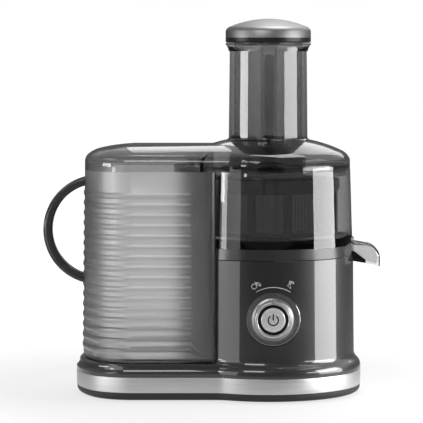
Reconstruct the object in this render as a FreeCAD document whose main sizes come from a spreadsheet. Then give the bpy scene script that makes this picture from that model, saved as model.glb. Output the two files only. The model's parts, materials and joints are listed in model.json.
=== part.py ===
import FreeCAD, Part
import math
import os

import Sketcher

# A centrifugal juicer: a round motor tower with a juicing bowl on top, a pulp bin standing on a
# plateau beside it, a lid over both and a wide feed tube with a pusher. The front faces -Y, the
# origin is the middle of the footprint on the table, and lengths are millimetres.

doc = FreeCAD.newDocument("centrifugal_juicer")
sheet = doc.addObject("Spreadsheet::Sheet", "Sizes")

DIMENSIONS = [
    ("tower_x", 62, "axis of the motor, bowl and feed tube"),
    ("base_radius", 102, "round lobe of the base outline"),
    ("lobe_left", 148.3, "left end of the base, measured from the origin"),
    ("lobe_half", 88, "half depth of the left lobe of the base"),
    ("lobe_end", 120, "shallow arc of the left end"),
    ("lobe_corner", 55, "corner arcs of the left end"),
    ("waist", 28, "hollow arc where the two lobes meet"),
    ("wall", 3, "wall of the painted housing"),
    ("foot_clear", 1.5, "pan's height above the table"),
    ("pan_top", 9.8, "top of the dark base pan"),
    ("pan_round", 6, "rounded lower edge of the pan"),
    ("pan_wall", 3, "wall of the pan"),
    ("band_top", 26.3, "top of the metal band"),
    ("band_wall", 1.2, "thickness of the metal band"),
    ("skirt_straight", 30, "where the painted skirt starts to curve in"),
    ("skirt_top", 46, "where the skirt has become the tower"),
    ("skirt_inset", 7.3, "how far the skirt curves in"),
    ("deck_top", 40, "plateau that carries the pulp bin"),
    ("seam_radius", 93.5, "tower at the joint with the bowl"),
    ("seam_top", 151.5, "top edge of the tower"),
    ("neck_radius", 66, "raised neck of the tower inside the bowl's base"),
    ("neck_top", 161, "top of that neck"),
    ("ring_top", 163.4, "top of the bowl's grey base ring"),
    ("bowl_foot_radius", 92.6, "clear bowl at its foot"),
    ("rim_radius", 90, "clear bowl at its rim"),
    ("rim_top", 245, "rim of the clear bowl"),
    ("bowl_wall", 2.6, "wall of the clear mouldings"),
    ("chimney_radius", 22, "inside of the bowl's central chimney"),
    ("gap", 0.3, "air between pieces that part"),
    ("lid_skirt", 256, "where the lid's skirt turns into its dome"),
    ("dome_shoulder", 80, "radius at the shoulder of the dome"),
    ("shoulder_top", 265.8, "height of the shoulder"),
    ("dome_top", 277.5, "dome at the feed tube"),
    ("lid_inset", 9.7, "lid's left lobe, in from the base outline"),
    ("ridge_top", 272.2, "ridge of the lid's left lobe"),
    ("apron_radius", 98.4, "pulp apron that hangs into the bin"),
    ("apron_foot", 201, "lower edge of the apron"),
    ("apron_top", 250, "upper edge of the apron"),
    ("apron_turn", 92, "angle that the apron spans"),
    ("tube_foot_radius", 43.1, "feed tube at the dome"),
    ("tube_top_radius", 42.1, "feed tube under its rim"),
    ("tube_wall", 3, "wall of the feed tube"),
    ("tube_end", 196, "lower end of the tube, above the disc"),
    ("tube_rim_foot", 373.7, "where the tube flares into its rim"),
    ("tube_rim_top", 382.4, "mouth of the tube"),
    ("tube_rim_radius", 47, "mouth of the tube, outside"),
    ("key_width", 10, "guide key inside the tube"),
    ("pusher_radius", 37.6, "pusher in the tube"),
    ("pusher_foot", 203, "lower end of the pusher"),
    ("pusher_wall", 2.4, "wall of the pusher"),
    ("cap_foot", 388.4, "lower edge of the pusher's metal cap"),
    ("cap_side", 395.6, "where the cap's side turns into its dome"),
    ("cap_top", 409, "crown of the cap"),
    ("cap_radius", 46.6, "cap of the pusher"),
    ("basket_radius", 77, "filter basket, outside"),
    ("basket_foot", 173.5, "underside of the basket"),
    ("basket_top", 235, "rim of the basket"),
    ("basket_band", 224, "lower edge of the basket's rim band"),
    ("disc_radius", 70, "grater disc"),
    ("shaft_radius", 5, "motor shaft"),
    ("shaft_foot", 27, "lower end of the shaft"),
    ("shaft_top", 170, "upper end of the shaft"),
    ("coupling_flat", 11, "hexagonal drive coupling, centre to corner"),
    ("stator_foot", 56, "lower face of the stator"),
    ("stator_top", 96, "upper face of the stator"),
    ("stator_radius", 48, "stator, outside"),
    ("rotor_radius", 24, "rotor"),
    ("bracket_foot", 118, "underside of the upper motor bracket"),
    ("bracket_radius", 58, "upper motor bracket"),
    ("post_ring", 52, "ring of posts that carry the motor"),
    ("bearing_radius", 11, "outer race of both bearings"),
    ("bin_foot", 40.4, "underside of the pulp bin"),
    ("bin_top", 245, "rim of the pulp bin"),
    ("bin_inset_foot", 7.4, "bin's wall at the foot, in from the base outline"),
    ("bin_inset_top", 9.7, "bin's wall at the rim"),
    ("bin_wall", 2.2, "wall of the bin"),
    ("bin_right", 5.4, "right end of the bin's front and back walls"),
    ("bin_hollow", 96, "radius of the bin's hollow side, about the tower"),
    ("bin_low_side", 199, "lowered rim of the hollow side"),
    ("rib_first", 53.3, "height of the lowest rib of the bin"),
    ("rib_pitch", 11.1, "spacing of the ribs"),
    ("rib_count", 16, "number of ribs"),
    ("rib_half", 4, "half height of a rib"),
    ("rib_rise", 1.1, "how far a rib stands out"),
    ("rib_end", 22, "where the ribs end, left of the origin"),
    ("handle_x", 124.3, "centre of the handle's loop, left of the origin"),
    ("handle_z", 178.4, "centre of the handle's loop"),
    ("handle_outer", 60, "loop, outside"),
    ("handle_inner", 50.5, "loop, inside"),
    ("handle_wide", 20, "width of the handle"),
    ("handle_round", 3.6, "rounded edges of the handle"),
    ("spout_end", 184.3, "nose of the spout"),
    ("spout_half", 16.5, "half width of the spout"),
    ("spout_wall", 2.2, "wall of the spout"),
    ("dial_x", 65.5, "axis of the dial"),
    ("dial_z", 89, "axis of the dial"),
    ("dial_rim", 89.8, "front of the bezel, forward of the tower's axis"),
    ("bezel_radius", 29, "bezel"),
    ("selector_radius", 22.8, "selector ring at its foot"),
    ("selector_face", 19.4, "selector ring at its front"),
    ("groove_radius", 16.5, "dark groove inside the selector ring"),
    ("button_radius", 12.9, "power button"),
    ("button_travel", 2, "power button's travel"),
]

for row, (alias, value, note) in enumerate(DIMENSIONS, start=1):
    sheet.set(f"A{row}", note)
    sheet.set(f"B{row}", str(value))
    sheet.setAlias(f"B{row}", alias)
doc.recompute()


class Size:
    """A length together with the sheet expression that gives it."""

    def __init__(self, value, text):
        self.value = float(value)
        self.text = text

    def joined(self, other, sign, value):
        return Size(value, f"({self.text} {sign} {sized(other).text})")

    def __add__(self, other):
        return self.joined(other, "+", self.value + sized(other).value)

    def __sub__(self, other):
        return self.joined(other, "-", self.value - sized(other).value)

    def __mul__(self, other):
        return self.joined(other, "*", self.value * sized(other).value)

    def __truediv__(self, other):
        return self.joined(other, "/", self.value / sized(other).value)

    def __radd__(self, other):
        return sized(other) + self

    def __rsub__(self, other):
        return sized(other) - self

    def __rmul__(self, other):
        return sized(other) * self

    def __rtruediv__(self, other):
        return sized(other) / self

    def __neg__(self):
        return Size(-self.value, f"(0 - {self.text})")


def sized(number):
    """The Size of a plain number."""
    if isinstance(number, Size):
        return number
    return Size(number, f"({number:.6f})")


def root(size):
    return Size(math.sqrt(size.value), f"sqrt({size.text})")


class Named:
    """Every driving dimension, as an attribute."""


dim = Named()
for alias, value, note in DIMENSIONS:
    setattr(dim, alias, Size(value, f"Sizes.{alias}"))

nodes = []


def bind(thing, path, size):
    """Ties one property of a document object to the sheet."""
    thing.setExpression(path, sized(size).text)


def place(thing, x=0, y=0, z=0, turn=None):
    """Puts an object at a point, with an optional rotation."""
    if turn is not None:
        thing.Placement = FreeCAD.Placement(FreeCAD.Vector(), turn)
    for axis, size in (("x", x), ("y", y), ("z", z)):
        bind(thing, f"Placement.Base.{axis}", size)
    return thing


def node(thing, label):
    """Names a finished sub-part."""
    thing.Label = label
    nodes.append(thing)
    return thing


# Turns that point an object's own Z axis at the front, and its X axis at a compass angle.
FACING_FRONT = FreeCAD.Rotation(FreeCAD.Vector(1, 0, 0), 90)


def about_z(degrees):
    return FreeCAD.Rotation(FreeCAD.Vector(0, 0, 1), degrees)


def polar(radius, degrees, x=0, y=0):
    """A point on a circle about (x, y)."""
    angle = math.radians(degrees)
    return x + radius * math.cos(angle), y + radius * math.sin(angle)


def crown(radius, rise):
    """Radius of a dome of that foot radius and rise, centred on its axis."""
    return (radius * radius + rise * rise) / (2 * rise)


def arc_centre(start, end, radius, long):
    """Centre of an arc: a positive radius turns left, and long takes the way over half a turn."""
    chord = end - start
    half = chord.Length / 2
    rise = math.sqrt(max(radius * radius - half * half, 0))
    left = FreeCAD.Vector(-chord.y, chord.x, 0).normalize()
    side = 1 if radius > 0 else -1
    if long:
        side = -side
    return (start + end) * 0.5 + left * rise * side


def stretch(start, end, radius, long):
    """One line or arc of a sketch."""
    if radius is None:
        return Part.LineSegment(start, end)
    centre = arc_centre(start, end, radius, long)
    first = math.atan2(start.y - centre.y, start.x - centre.x)
    last = math.atan2(end.y - centre.y, end.x - centre.x)
    if radius < 0:
        first, last = last, first
    circle = Part.Circle(centre, FreeCAD.Vector(0, 0, 1), abs(radius))
    return Part.ArcOfCircle(circle, first, last)


def sketched(body, name, plane, corners, closed=True, lift=None):
    """A sketch through corners (x, y), (x, y, radius) or (x, y, radius, "long").

    A corner's radius makes the stretch that ends there an arc. Every corner and radius is a
    constraint tied to the sheet. lift moves the sketch off its plane.
    """
    sketch = body.newObject("Sketcher::SketchObject", name)
    origin_plane = [part for part in body.Origin.OriginFeatures if part.Role == plane][0]
    sketch.AttachmentSupport = (origin_plane, [""])
    sketch.MapMode = "FlatFace"
    if lift is not None:
        bind(sketch, "AttachmentOffset.Base.z", lift)
    sizes = [(sized(corner[0]), sized(corner[1])) for corner in corners]
    points = [FreeCAD.Vector(x.value, y.value, 0) for x, y in sizes]
    count = len(corners)
    first = 0 if closed else 1
    ends = []
    limits = []
    ties = []
    for number in range(first, count):
        corner = corners[number]
        radius = sized(corner[2]) if len(corner) > 2 else None
        turn = radius.value if radius is not None else None
        edge = sketch.addGeometry(stretch(points[number - 1], points[number], turn, len(corner) > 3))
        backward = radius is not None and radius.value < 0
        ends.append((edge, 2 if backward else 1, 1 if backward else 2))
        for kind, size in zip(("DistanceX", "DistanceY"), sizes[number]):
            limits.append(Sketcher.Constraint(kind, edge, ends[-1][2], size.value))
            ties.append(size)
        if radius is not None:
            limits.append(Sketcher.Constraint("Radius", edge, abs(turn)))
            ties.append(radius if turn > 0 else -radius)
    if not closed:
        edge, head, tail = ends[0]
        for kind, size in zip(("DistanceX", "DistanceY"), sizes[0]):
            limits.append(Sketcher.Constraint(kind, edge, head, size.value))
            ties.append(size)
    joints = list(zip(ends, ends[1:]))
    if closed:
        joints.append((ends[-1], ends[0]))
    for before, after in joints:
        limits.append(Sketcher.Constraint("Coincident", before[0], before[2], after[0], after[1]))
    sketch.addConstraint(limits)
    for number, size in enumerate(ties):
        if "Sizes" in size.text:
            sketch.renameConstraint(number, f"size{number}")
            bind(sketch, f"Constraints.size{number}", size)
    return sketch


def bodied(name):
    return doc.addObject("PartDesign::Body", name)


def padded(body, sketch, length, middle=False):
    pad = body.newObject("PartDesign::Pad", f"{sketch.Name}_pad")
    pad.Profile = sketch
    pad.Midplane = middle
    bind(pad, "Length", length)
    sketch.Visibility = False
    return pad


def rounded(body, feature, radius, wanted):
    """Fillets the feature's edges whose bounding box is wanted."""
    doc.recompute()
    fillet = body.newObject("PartDesign::Fillet", f"{feature.Name}_round")
    chosen = [f"Edge{number}" for number, edge in enumerate(feature.Shape.Edges, start=1)
              if wanted(edge.BoundBox)]
    fillet.Base = (feature, chosen)
    bind(fillet, "Radius", radius)
    return fillet


def spun(body, sketch, angle=360, middle=False):
    """A revolution about the sketch's own vertical axis."""
    turn = body.newObject("PartDesign::Revolution", f"{sketch.Name}_turn")
    turn.Profile = sketch
    turn.ReferenceAxis = (sketch, ["V_Axis"])
    turn.Midplane = middle
    bind(turn, "Angle", angle)
    return turn


def turned(name, corners, x=dim.tower_x, y=0, z=0, turn=None, angle=360, middle=False):
    """A body of revolution: corners are (radius, height) in its own upright frame."""
    body = bodied(name)
    spun(body, sketched(body, f"{name}_profile", "XZ_Plane", corners), angle, middle)
    return place(body, x, y, z, turn)


def box(name, low, lengths):
    """A block from its low corner."""
    block = doc.addObject("Part::Box", name)
    for path, size in zip(("Length", "Width", "Height"), lengths):
        bind(block, path, size)
    return place(block, *low)


def rod(name, radius, height, foot, turn=None):
    """A cylinder from the centre of its foot."""
    cylinder = doc.addObject("Part::Cylinder", name)
    bind(cylinder, "Radius", radius)
    bind(cylinder, "Height", height)
    return place(cylinder, *foot, turn=turn)


def joined(name, things):
    union = doc.addObject("Part::MultiFuse", name)
    union.Shapes = things
    return union


def grouped(name, things):
    group = doc.addObject("Part::Compound", name)
    group.Links = things
    return group


def shared(name, things):
    overlap = doc.addObject("Part::MultiCommon", name)
    overlap.Shapes = things
    return overlap


def cut(name, base, tools):
    """The base with one or more tools taken away."""
    difference = doc.addObject("Part::Cut", name)
    difference.Base = base
    difference.Tool = tools[0] if len(tools) == 1 else joined(f"{name}_tools", tools)
    return difference


# The base outline: a shallow end, two corners and two straight sides on the left, and a round
# lobe on the right. An inset gives the parallel curve inside it.
end_x = dim.lobe_end - dim.lobe_left
corner_y = dim.lobe_half - dim.lobe_corner
end_reach = dim.lobe_end - dim.lobe_corner
corner_x = end_x - root(end_reach * end_reach - corner_y * corner_y)


def lobe_left_end(inset):
    """The left end's corners, from the back straight round to the front straight."""
    half = dim.lobe_half - inset
    share = (dim.lobe_end - inset) / end_reach
    meet_x = end_x + (corner_x - end_x) * share
    meet_y = corner_y * share
    corner = dim.lobe_corner - inset
    return [
        (corner_x, half),
        (meet_x, meet_y, corner),
        (meet_x, -meet_y, dim.lobe_end - inset),
        (corner_x, -half, corner),
    ]


def lobe_outline(inset, right):
    """The left lobe alone, squared off at the given right end."""
    half = dim.lobe_half - inset
    return [(right, -half), (right, half)] + lobe_left_end(inset)


def base_outline(inset):
    """Both lobes, with the hollow waist between them."""
    reach = dim.base_radius + dim.waist
    depth = dim.lobe_half + dim.waist
    offset = root(reach * reach - depth * depth)
    share = (dim.base_radius - inset) / reach
    touch_x = dim.tower_x - offset * share
    touch_y = depth * share
    waist_x = dim.tower_x - offset
    half = dim.lobe_half - inset
    hollow = -(dim.waist + inset)
    sides = [(touch_x, touch_y, dim.base_radius - inset, "long"), (waist_x, half, hollow)]
    return sides + lobe_left_end(inset) + [(waist_x, -half), (touch_x, -touch_y, hollow)]


def left_path(body, name, start):
    """An open path along the base outline's left lobe, from the front straight to the back one."""
    _, back, front, _ = lobe_left_end(0)
    corners = [
        (start, -dim.lobe_half),
        (corner_x, -dim.lobe_half),
        (front[0], front[1], -dim.lobe_corner),
        (back[0], back[1], -dim.lobe_end),
        (corner_x, dim.lobe_half, -dim.lobe_corner),
        (start, dim.lobe_half),
    ]
    return sketched(body, name, "XY_Plane", corners, closed=False)


def swept(body, section, path):
    pipe = body.newObject("PartDesign::AdditivePipe", f"{section.Name}_sweep")
    pipe.Profile = section
    pipe.Spine = path
    return pipe


def inward(inset, height, *arc):
    """A corner of a wall's section on the front straight of the left lobe."""
    return (inset - dim.lobe_half, height) + arc


# Base pan, feet and band.
FOOT_RADIUS = 9
FOOT_RECESS = 1
FOOT_RING = 72
FOOT_IN = (42, 36)
foot_places = [polar(FOOT_RING, angle, dim.tower_x) for angle in (-62, 0, 62)]
foot_places += [(FOOT_IN[0] - dim.lobe_left, side * (dim.lobe_half - FOOT_IN[1])) for side in (-1, 1)]

SCREW_RADIUS = 1.9
SCREW_HEAD = 4
SCREW_SINK = 1.2
SCREW_RING = 80
SCREW_ANGLES = (-90, 30, 90)
SCREW_IN = (60, 24)
screw_places = [polar(SCREW_RING, angle, dim.tower_x) for angle in SCREW_ANGLES]
screw_places += [(SCREW_IN[0] - dim.lobe_left, side * (dim.lobe_half - SCREW_IN[1])) for side in (-1, 1)]

pan_inset = 0.5
pan = bodied("pan")
pan_outline = sketched(pan, "pan_outline", "XY_Plane", base_outline(pan_inset), lift=dim.foot_clear)
pan_blank = padded(pan, pan_outline, dim.pan_top - dim.foot_clear)
rounded(pan, pan_blank, dim.pan_round, lambda edge: edge.ZMax < dim.foot_clear.value + 0.01)
hollow = bodied("pan_hollow")
padded(hollow, sketched(hollow, "pan_hollow_outline", "XY_Plane", base_outline(pan_inset + dim.pan_wall),
                        lift=dim.foot_clear + dim.pan_wall), dim.pan_top)
VENTS = 18
VENT_RING = 24
VENT = (26, 3, 10)
vents = [
    place(box(f"vent{number}", (0, 0, 0), VENT), *polar(VENT_RING, 360 / VENTS * number, dim.tower_x),
          turn=about_z(360 / VENTS * number))
    for number in range(VENTS)
]
recesses = [rod(f"recess{number}", FOOT_RADIUS + 0.1, FOOT_RECESS, (x, y, dim.foot_clear))
            for number, (x, y) in enumerate(foot_places)]
pan_bores = [rod(f"pan_bore{number}", SCREW_RADIUS + 0.2, 20, (x, y, 0))
             for number, (x, y) in enumerate(screw_places)]
pan_sinks = [rod(f"pan_sink{number}", SCREW_HEAD + 0.3, SCREW_SINK, (x, y, dim.foot_clear))
             for number, (x, y) in enumerate(screw_places)]
node(cut("pan_cut", pan, [hollow] + vents + recesses + pan_bores + pan_sinks), "bottom_pan")

foot_top = dim.foot_clear + FOOT_RECESS
foot_profile = [(0, 0), (FOOT_RADIUS - 1, 0), (FOOT_RADIUS, 1, 1), (FOOT_RADIUS, foot_top), (0, foot_top)]
feet = [turned(f"foot{number}", foot_profile, x, y) for number, (x, y) in enumerate(foot_places)]
node(grouped("feet", feet), "rubber_feet")

GLAND_HALF = 13
BAND_EDGE = 0.5
band = bodied("band")
band_block = padded(band, sketched(band, "band_outline", "XY_Plane", base_outline(0), lift=dim.pan_top),
                    dim.band_top - dim.pan_top)
rounded(band, band_block, BAND_EDGE, lambda edge: edge.ZLength < BAND_EDGE)
band_inside = bodied("band_inside")
padded(band_inside, sketched(band_inside, "band_inside_outline", "XY_Plane", base_outline(dim.band_wall)),
       dim.band_top * 2)
gland_gap = box("gland_gap", (dim.tower_x - GLAND_HALF, 80, dim.pan_top - 5), (2 * GLAND_HALF, 40, 40))
node(cut("band_ring", band, [band_inside, gland_gap]), "trim_band")

# Motor tower: a turned shell with an ogee skirt, a neck on top and openings for the dial.
ogee_in = dim.skirt_inset / 2
ogee_up = (dim.skirt_top - dim.skirt_straight) / 2
ogee = (ogee_in * ogee_in + ogee_up * ogee_up) / (2 * ogee_in)
tower_radius = dim.base_radius - dim.skirt_inset
frame_radius = dim.base_radius - dim.band_wall
tower_side = [
    (frame_radius, dim.pan_top),
    (frame_radius, dim.band_top),
    (dim.base_radius, dim.band_top),
    (dim.base_radius, dim.skirt_straight),
    (dim.base_radius - ogee_in, dim.skirt_straight + ogee_up, ogee),
    (tower_radius, dim.skirt_top, -ogee),
    (dim.seam_radius - 1, dim.seam_top),
]
tower_form = turned("tower_form", [(0, dim.pan_top)] + tower_side + [(0, dim.seam_top)])
SEAL_RADIUS = 10
deck_under = dim.neck_top - dim.wall
tower_shell = turned(
    "tower_shell",
    tower_side[:-1]
    + [
        (dim.seam_radius, dim.seam_top - 0.6),
        (dim.seam_radius - 0.6, dim.seam_top),
        (dim.neck_radius, dim.seam_top),
        (dim.neck_radius, dim.neck_top),
        (SEAL_RADIUS, dim.neck_top),
        (SEAL_RADIUS, deck_under),
        (dim.neck_radius - dim.wall, deck_under),
        (dim.neck_radius - dim.wall, dim.seam_top - dim.wall),
        (dim.seam_radius - dim.wall, dim.seam_top - dim.wall),
        (tower_radius - dim.wall, dim.skirt_top),
        (frame_radius - dim.wall, dim.skirt_straight),
        (frame_radius - dim.wall, dim.pan_top),
    ],
)
POST_RADIUS = 5
POST_ANGLES = (45, 135, 225, 315)
bracket_wall = 4
post_places = [polar(dim.post_ring, angle, dim.tower_x) for angle in POST_ANGLES]
post_foot = dim.bracket_foot + bracket_wall
posts = [rod(f"post{number}", POST_RADIUS, dim.neck_top - 1 - post_foot, (x, y, post_foot))
         for number, (x, y) in enumerate(post_places)]
post_bores = [rod(f"post_bore{number}", SCREW_RADIUS, 14, (x, y, post_foot))
              for number, (x, y) in enumerate(post_places)]
pillars = [rod(f"pillar{number}", POST_RADIUS, 30, (x, y, dim.pan_top))
           for number, (x, y) in enumerate(screw_places[:3])]
webs = [box(f"web{number}", (0, -1.5, 0), (24, 3, 26)) for number in range(3)]
for web, angle, (x, y) in zip(webs, SCREW_ANGLES, screw_places):
    place(web, *polar(1.5, angle - 90, x, y), dim.pan_top, turn=about_z(angle))
inside_tower = turned("inside_tower", [(0, dim.pan_top), (frame_radius - 0.5, dim.pan_top),
                                       (frame_radius - 0.5, dim.skirt_straight + 2),
                                       (tower_radius - 1, dim.skirt_top), (0, dim.skirt_top)])
ribs_inside = shared("ribs_inside", [joined("pillar_set", pillars + webs), inside_tower])
pillar_bores = [rod(f"pillar_bore{number}", SCREW_RADIUS, 16, (x, y, dim.pan_top))
                for number, (x, y) in enumerate(screw_places[:3])]
dial_opening = rod("dial_opening", dim.bezel_radius + 0.2, 60, (dim.dial_x, -60, dim.dial_z), FACING_FRONT)
gland_opening = box("gland_opening", (dim.tower_x - GLAND_HALF, 80, dim.pan_top - 5),
                    (2 * GLAND_HALF, 40, dim.band_top - dim.pan_top + 5))
tower_body = joined("tower_body", [tower_shell, ribs_inside] + posts)
node(cut("tower", tower_body, post_bores + pillar_bores + [dial_opening, gland_opening]), "motor_housing")

# Plateau under the bin: the same skirt swept round the left lobe, with a deck, fitted to the tower.
deck_edge = ogee - root(ogee * ogee - (dim.skirt_top - dim.deck_top) * (dim.skirt_top - dim.deck_top))
deck_inset = dim.skirt_inset - deck_edge
DECK_LAP = 14
plateau = bodied("plateau")
plateau_section = sketched(
    plateau,
    "plateau_section",
    "YZ_Plane",
    [
        inward(dim.band_wall, dim.pan_top),
        inward(dim.band_wall + dim.wall, dim.pan_top),
        inward(dim.band_wall + dim.wall, dim.skirt_straight),
        inward(dim.skirt_inset + dim.wall, dim.deck_top - dim.wall),
        inward(DECK_LAP, dim.deck_top - dim.wall),
        inward(DECK_LAP, dim.deck_top),
        inward(deck_inset, dim.deck_top),
        inward(ogee_in, dim.skirt_straight + ogee_up, ogee),
        inward(sized(0), dim.skirt_straight, -ogee),
        inward(sized(0), dim.band_top),
        inward(dim.band_wall, dim.band_top),
    ],
    lift=dim.tower_x,
)
swept(plateau, plateau_section, left_path(plateau, "plateau_path", dim.tower_x))
padded(plateau, sketched(plateau, "deck_outline", "XY_Plane", lobe_outline(DECK_LAP - 2, dim.tower_x),
                         lift=dim.deck_top - dim.wall), dim.wall)
plateau_pillars = [rod(f"plateau_pillar{number}", POST_RADIUS, dim.deck_top - 1 - dim.pan_top,
                       (x, y, dim.pan_top)) for number, (x, y) in enumerate(screw_places[3:])]
plateau_bores = [rod(f"plateau_bore{number}", SCREW_RADIUS, 16, (x, y, dim.pan_top))
                 for number, (x, y) in enumerate(screw_places[3:])]
node(cut("plateau_fitted", joined("plateau_body", [plateau] + plateau_pillars),
         [tower_form] + plateau_bores), "bin_platform")


def screw(name, x, y, head_foot, length, head):
    """A pan-head screw with its head down."""
    return turned(name, [(0, head_foot), (head - 0.6, head_foot), (head, head_foot + 0.6),
                         (head, head_foot + 2.4), (SCREW_RADIUS - 0.05, head_foot + 2.4),
                         (SCREW_RADIUS - 0.05, head_foot + length), (0, head_foot + length)], x, y)


def base_screw(number, x, y):
    """A screw up through the pan's floor, its head sunk in the counterbore."""
    foot = dim.foot_clear + SCREW_SINK
    return turned(f"base_screw{number}", [
        (0, foot - 1), (SCREW_HEAD, foot - 1), (SCREW_HEAD, foot), (SCREW_RADIUS - 0.05, foot),
        (SCREW_RADIUS - 0.05, dim.pan_top + 12), (0, dim.pan_top + 12)], x, y)


node(grouped("base_screw_set", [base_screw(number, x, y) for number, (x, y) in enumerate(screw_places)]),
     "base_screws")

# Motor: stator and brackets hang from the tower's posts; rotor, fan and coupling are on the shaft.
BRACKET_BORE = dim.bearing_radius
bracket_skirt = 3
bracket = turned("bracket_blank", [
    (BRACKET_BORE, dim.bracket_foot), (dim.stator_radius - bracket_skirt, dim.bracket_foot),
    (dim.stator_radius - bracket_skirt, dim.stator_top), (dim.stator_radius, dim.stator_top),
    (dim.stator_radius, dim.bracket_foot), (dim.bracket_radius, dim.bracket_foot),
    (dim.bracket_radius, post_foot), (BRACKET_BORE, post_foot)])
bracket_bores = [rod(f"bracket_bore{number}", SCREW_RADIUS + 0.2, 20, (x, y, dim.bracket_foot - 5))
                 for number, (x, y) in enumerate(post_places)]
WINDOW = 30
upper_windows = [
    place(box(f"upper_window{number}", (0, 0, 0), (30, WINDOW, dim.bracket_foot - dim.stator_top - 8)),
          *polar(WINDOW / 2, 90 * number - 90, *polar(35, 90 * number, dim.tower_x)), dim.stator_top + 4,
          turn=about_z(90 * number))
    for number in range(4)
]
node(cut("bracket_upper", bracket, bracket_bores + upper_windows), "upper_motor_bracket")
LOWER_PLATE = 30
lower = turned("lower_blank", [
    (BRACKET_BORE, LOWER_PLATE), (dim.stator_radius, LOWER_PLATE), (dim.stator_radius, dim.stator_foot),
    (dim.stator_radius - bracket_skirt, dim.stator_foot),
    (dim.stator_radius - bracket_skirt, LOWER_PLATE + bracket_wall),
    (BRACKET_BORE, LOWER_PLATE + bracket_wall)])
INLET_RADIUS = 9
INLET_RING = 28
inlets = [
    rod(f"inlet{number}", INLET_RADIUS, 20, polar(INLET_RING, 60 * number, dim.tower_x) + (LOWER_PLATE - 5,))
    for number in range(6)
]
lower_windows = [
    place(box(f"lower_window{number}", (0, 0, 0), (30, WINDOW, 14)),
          *polar(WINDOW / 2, 90 * number - 90, *polar(35, 90 * number, dim.tower_x)), dim.stator_foot - 18,
          turn=about_z(90 * number))
    for number in range(4)
]
node(cut("bracket_lower", lower, inlets + lower_windows), "lower_motor_bracket")
node(grouped("motor_screw_set", [
    screw(f"motor_screw{number}", x, y, dim.bracket_foot - 2.4, 16, SCREW_HEAD)
    for number, (x, y) in enumerate(post_places)]), "motor_screws")

AIR_GAP = 0.6
YOKE = 8
pole_face = dim.rotor_radius + AIR_GAP
yoke = turned("yoke", [(dim.stator_radius - YOKE, dim.stator_foot), (dim.stator_radius, dim.stator_foot),
                       (dim.stator_radius, dim.stator_top), (dim.stator_radius - YOKE, dim.stator_top)])
POLE_TURN = 96
pole_root = dim.stator_radius - YOKE + 1
pole_profile = [(pole_face, dim.stator_foot), (pole_root, dim.stator_foot), (pole_root, dim.stator_top),
                (pole_face, dim.stator_top)]
poles = [turned(f"pole{side}", pole_profile, turn=about_z(side), angle=POLE_TURN, middle=True)
         for side in (0, 180)]
node(joined("stator", [yoke] + poles), "motor_stator")
COIL_OVERHANG = 7
COIL_TURN = 70
coil_inside = pole_face + 2
coil_outside = dim.stator_radius - YOKE - 1
coil_foot = dim.stator_foot - COIL_OVERHANG
coil_top = dim.stator_top + COIL_OVERHANG
coil_profile = [(coil_inside, coil_foot), (coil_outside, coil_foot), (coil_outside, coil_top),
                (coil_inside, coil_top)]
coils = [turned(f"coil{side}", coil_profile, turn=about_z(side), angle=COIL_TURN, middle=True)
         for side in (90, 270)]
node(grouped("coils", coils), "field_coils")


RUNNING_FIT = 0.04
BEARING_WIDE = 7
BEARING_GROOVE = (7.4, 8.6)


def bearing(name, foot, label):
    """A ball bearing drawn as one ring with its two races marked by a groove."""
    bore = dim.shaft_radius + RUNNING_FIT
    top = foot + BEARING_WIDE
    inner, outer = BEARING_GROOVE
    races = [(bore, foot), (inner, foot), (inner, foot + 0.8), (outer, foot + 0.8), (outer, foot),
             (dim.bearing_radius, foot), (dim.bearing_radius, top), (outer, top),
             (outer, top - 0.8), (inner, top - 0.8), (inner, top), (bore, top)]
    return node(turned(name, races), label)


bearing("bearing_high", post_foot - BEARING_WIDE, "upper_bearing")
bearing("bearing_low", LOWER_PLATE - 1.5, "lower_bearing")
seal_bore = dim.shaft_radius + RUNNING_FIT
SEAL_LIP = 7
node(turned("seal", [
    (seal_bore, deck_under), (SEAL_RADIUS, deck_under), (SEAL_RADIUS, dim.neck_top),
    (SEAL_LIP + 1, dim.neck_top), (SEAL_LIP, dim.neck_top - 1.2), (seal_bore, dim.neck_top - 0.4),
]), "shaft_seal")

node(turned("shaft", [(0, dim.shaft_foot), (dim.shaft_radius - 0.6, dim.shaft_foot),
                      (dim.shaft_radius, dim.shaft_foot + 0.6), (dim.shaft_radius, dim.shaft_top - 0.6),
                      (dim.shaft_radius - 0.6, dim.shaft_top), (0, dim.shaft_top)]), "motor_shaft")
CORE_STEP = 2
core_foot = dim.stator_foot + CORE_STEP
core_top = dim.stator_top - CORE_STEP
core = turned("core", [(dim.shaft_radius, core_foot), (dim.rotor_radius, core_foot),
                       (dim.rotor_radius, core_top), (dim.shaft_radius, core_top)])
SLOTS = 12
SLOT_STEP = 360 / SLOTS
SLOT_RING = 17
SLOT_WIDE = 2.4
slots = [
    place(box(f"slot{number}", (0, 0, 0), (9, SLOT_WIDE, 60)),
          *polar(SLOT_WIDE / 2, SLOT_STEP * number - 90, *polar(SLOT_RING, SLOT_STEP * number, dim.tower_x)),
          dim.stator_foot - 5, turn=about_z(SLOT_STEP * number))
    for number in range(SLOTS)
]
node(cut("core_slotted", core, slots), "rotor_core")
WINDING = 21
WINDING_END = 18
winding_bore = dim.shaft_radius + 1
node(grouped("windings", [
    turned("winding_low", [
        (winding_bore, dim.stator_foot - 5), (WINDING_END, dim.stator_foot - 5),
        (WINDING, dim.stator_foot - 2, 3), (WINDING, core_foot), (winding_bore, core_foot)]),
    turned("winding_high", [
        (winding_bore, core_top), (WINDING, core_top), (WINDING_END, dim.stator_top + 3, 9),
        (winding_bore, dim.stator_top + 3)])]), "rotor_windings")
COMMUTATOR = 13
comm_foot = dim.stator_top + 5
comm_top = dim.bracket_foot - 7
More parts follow.
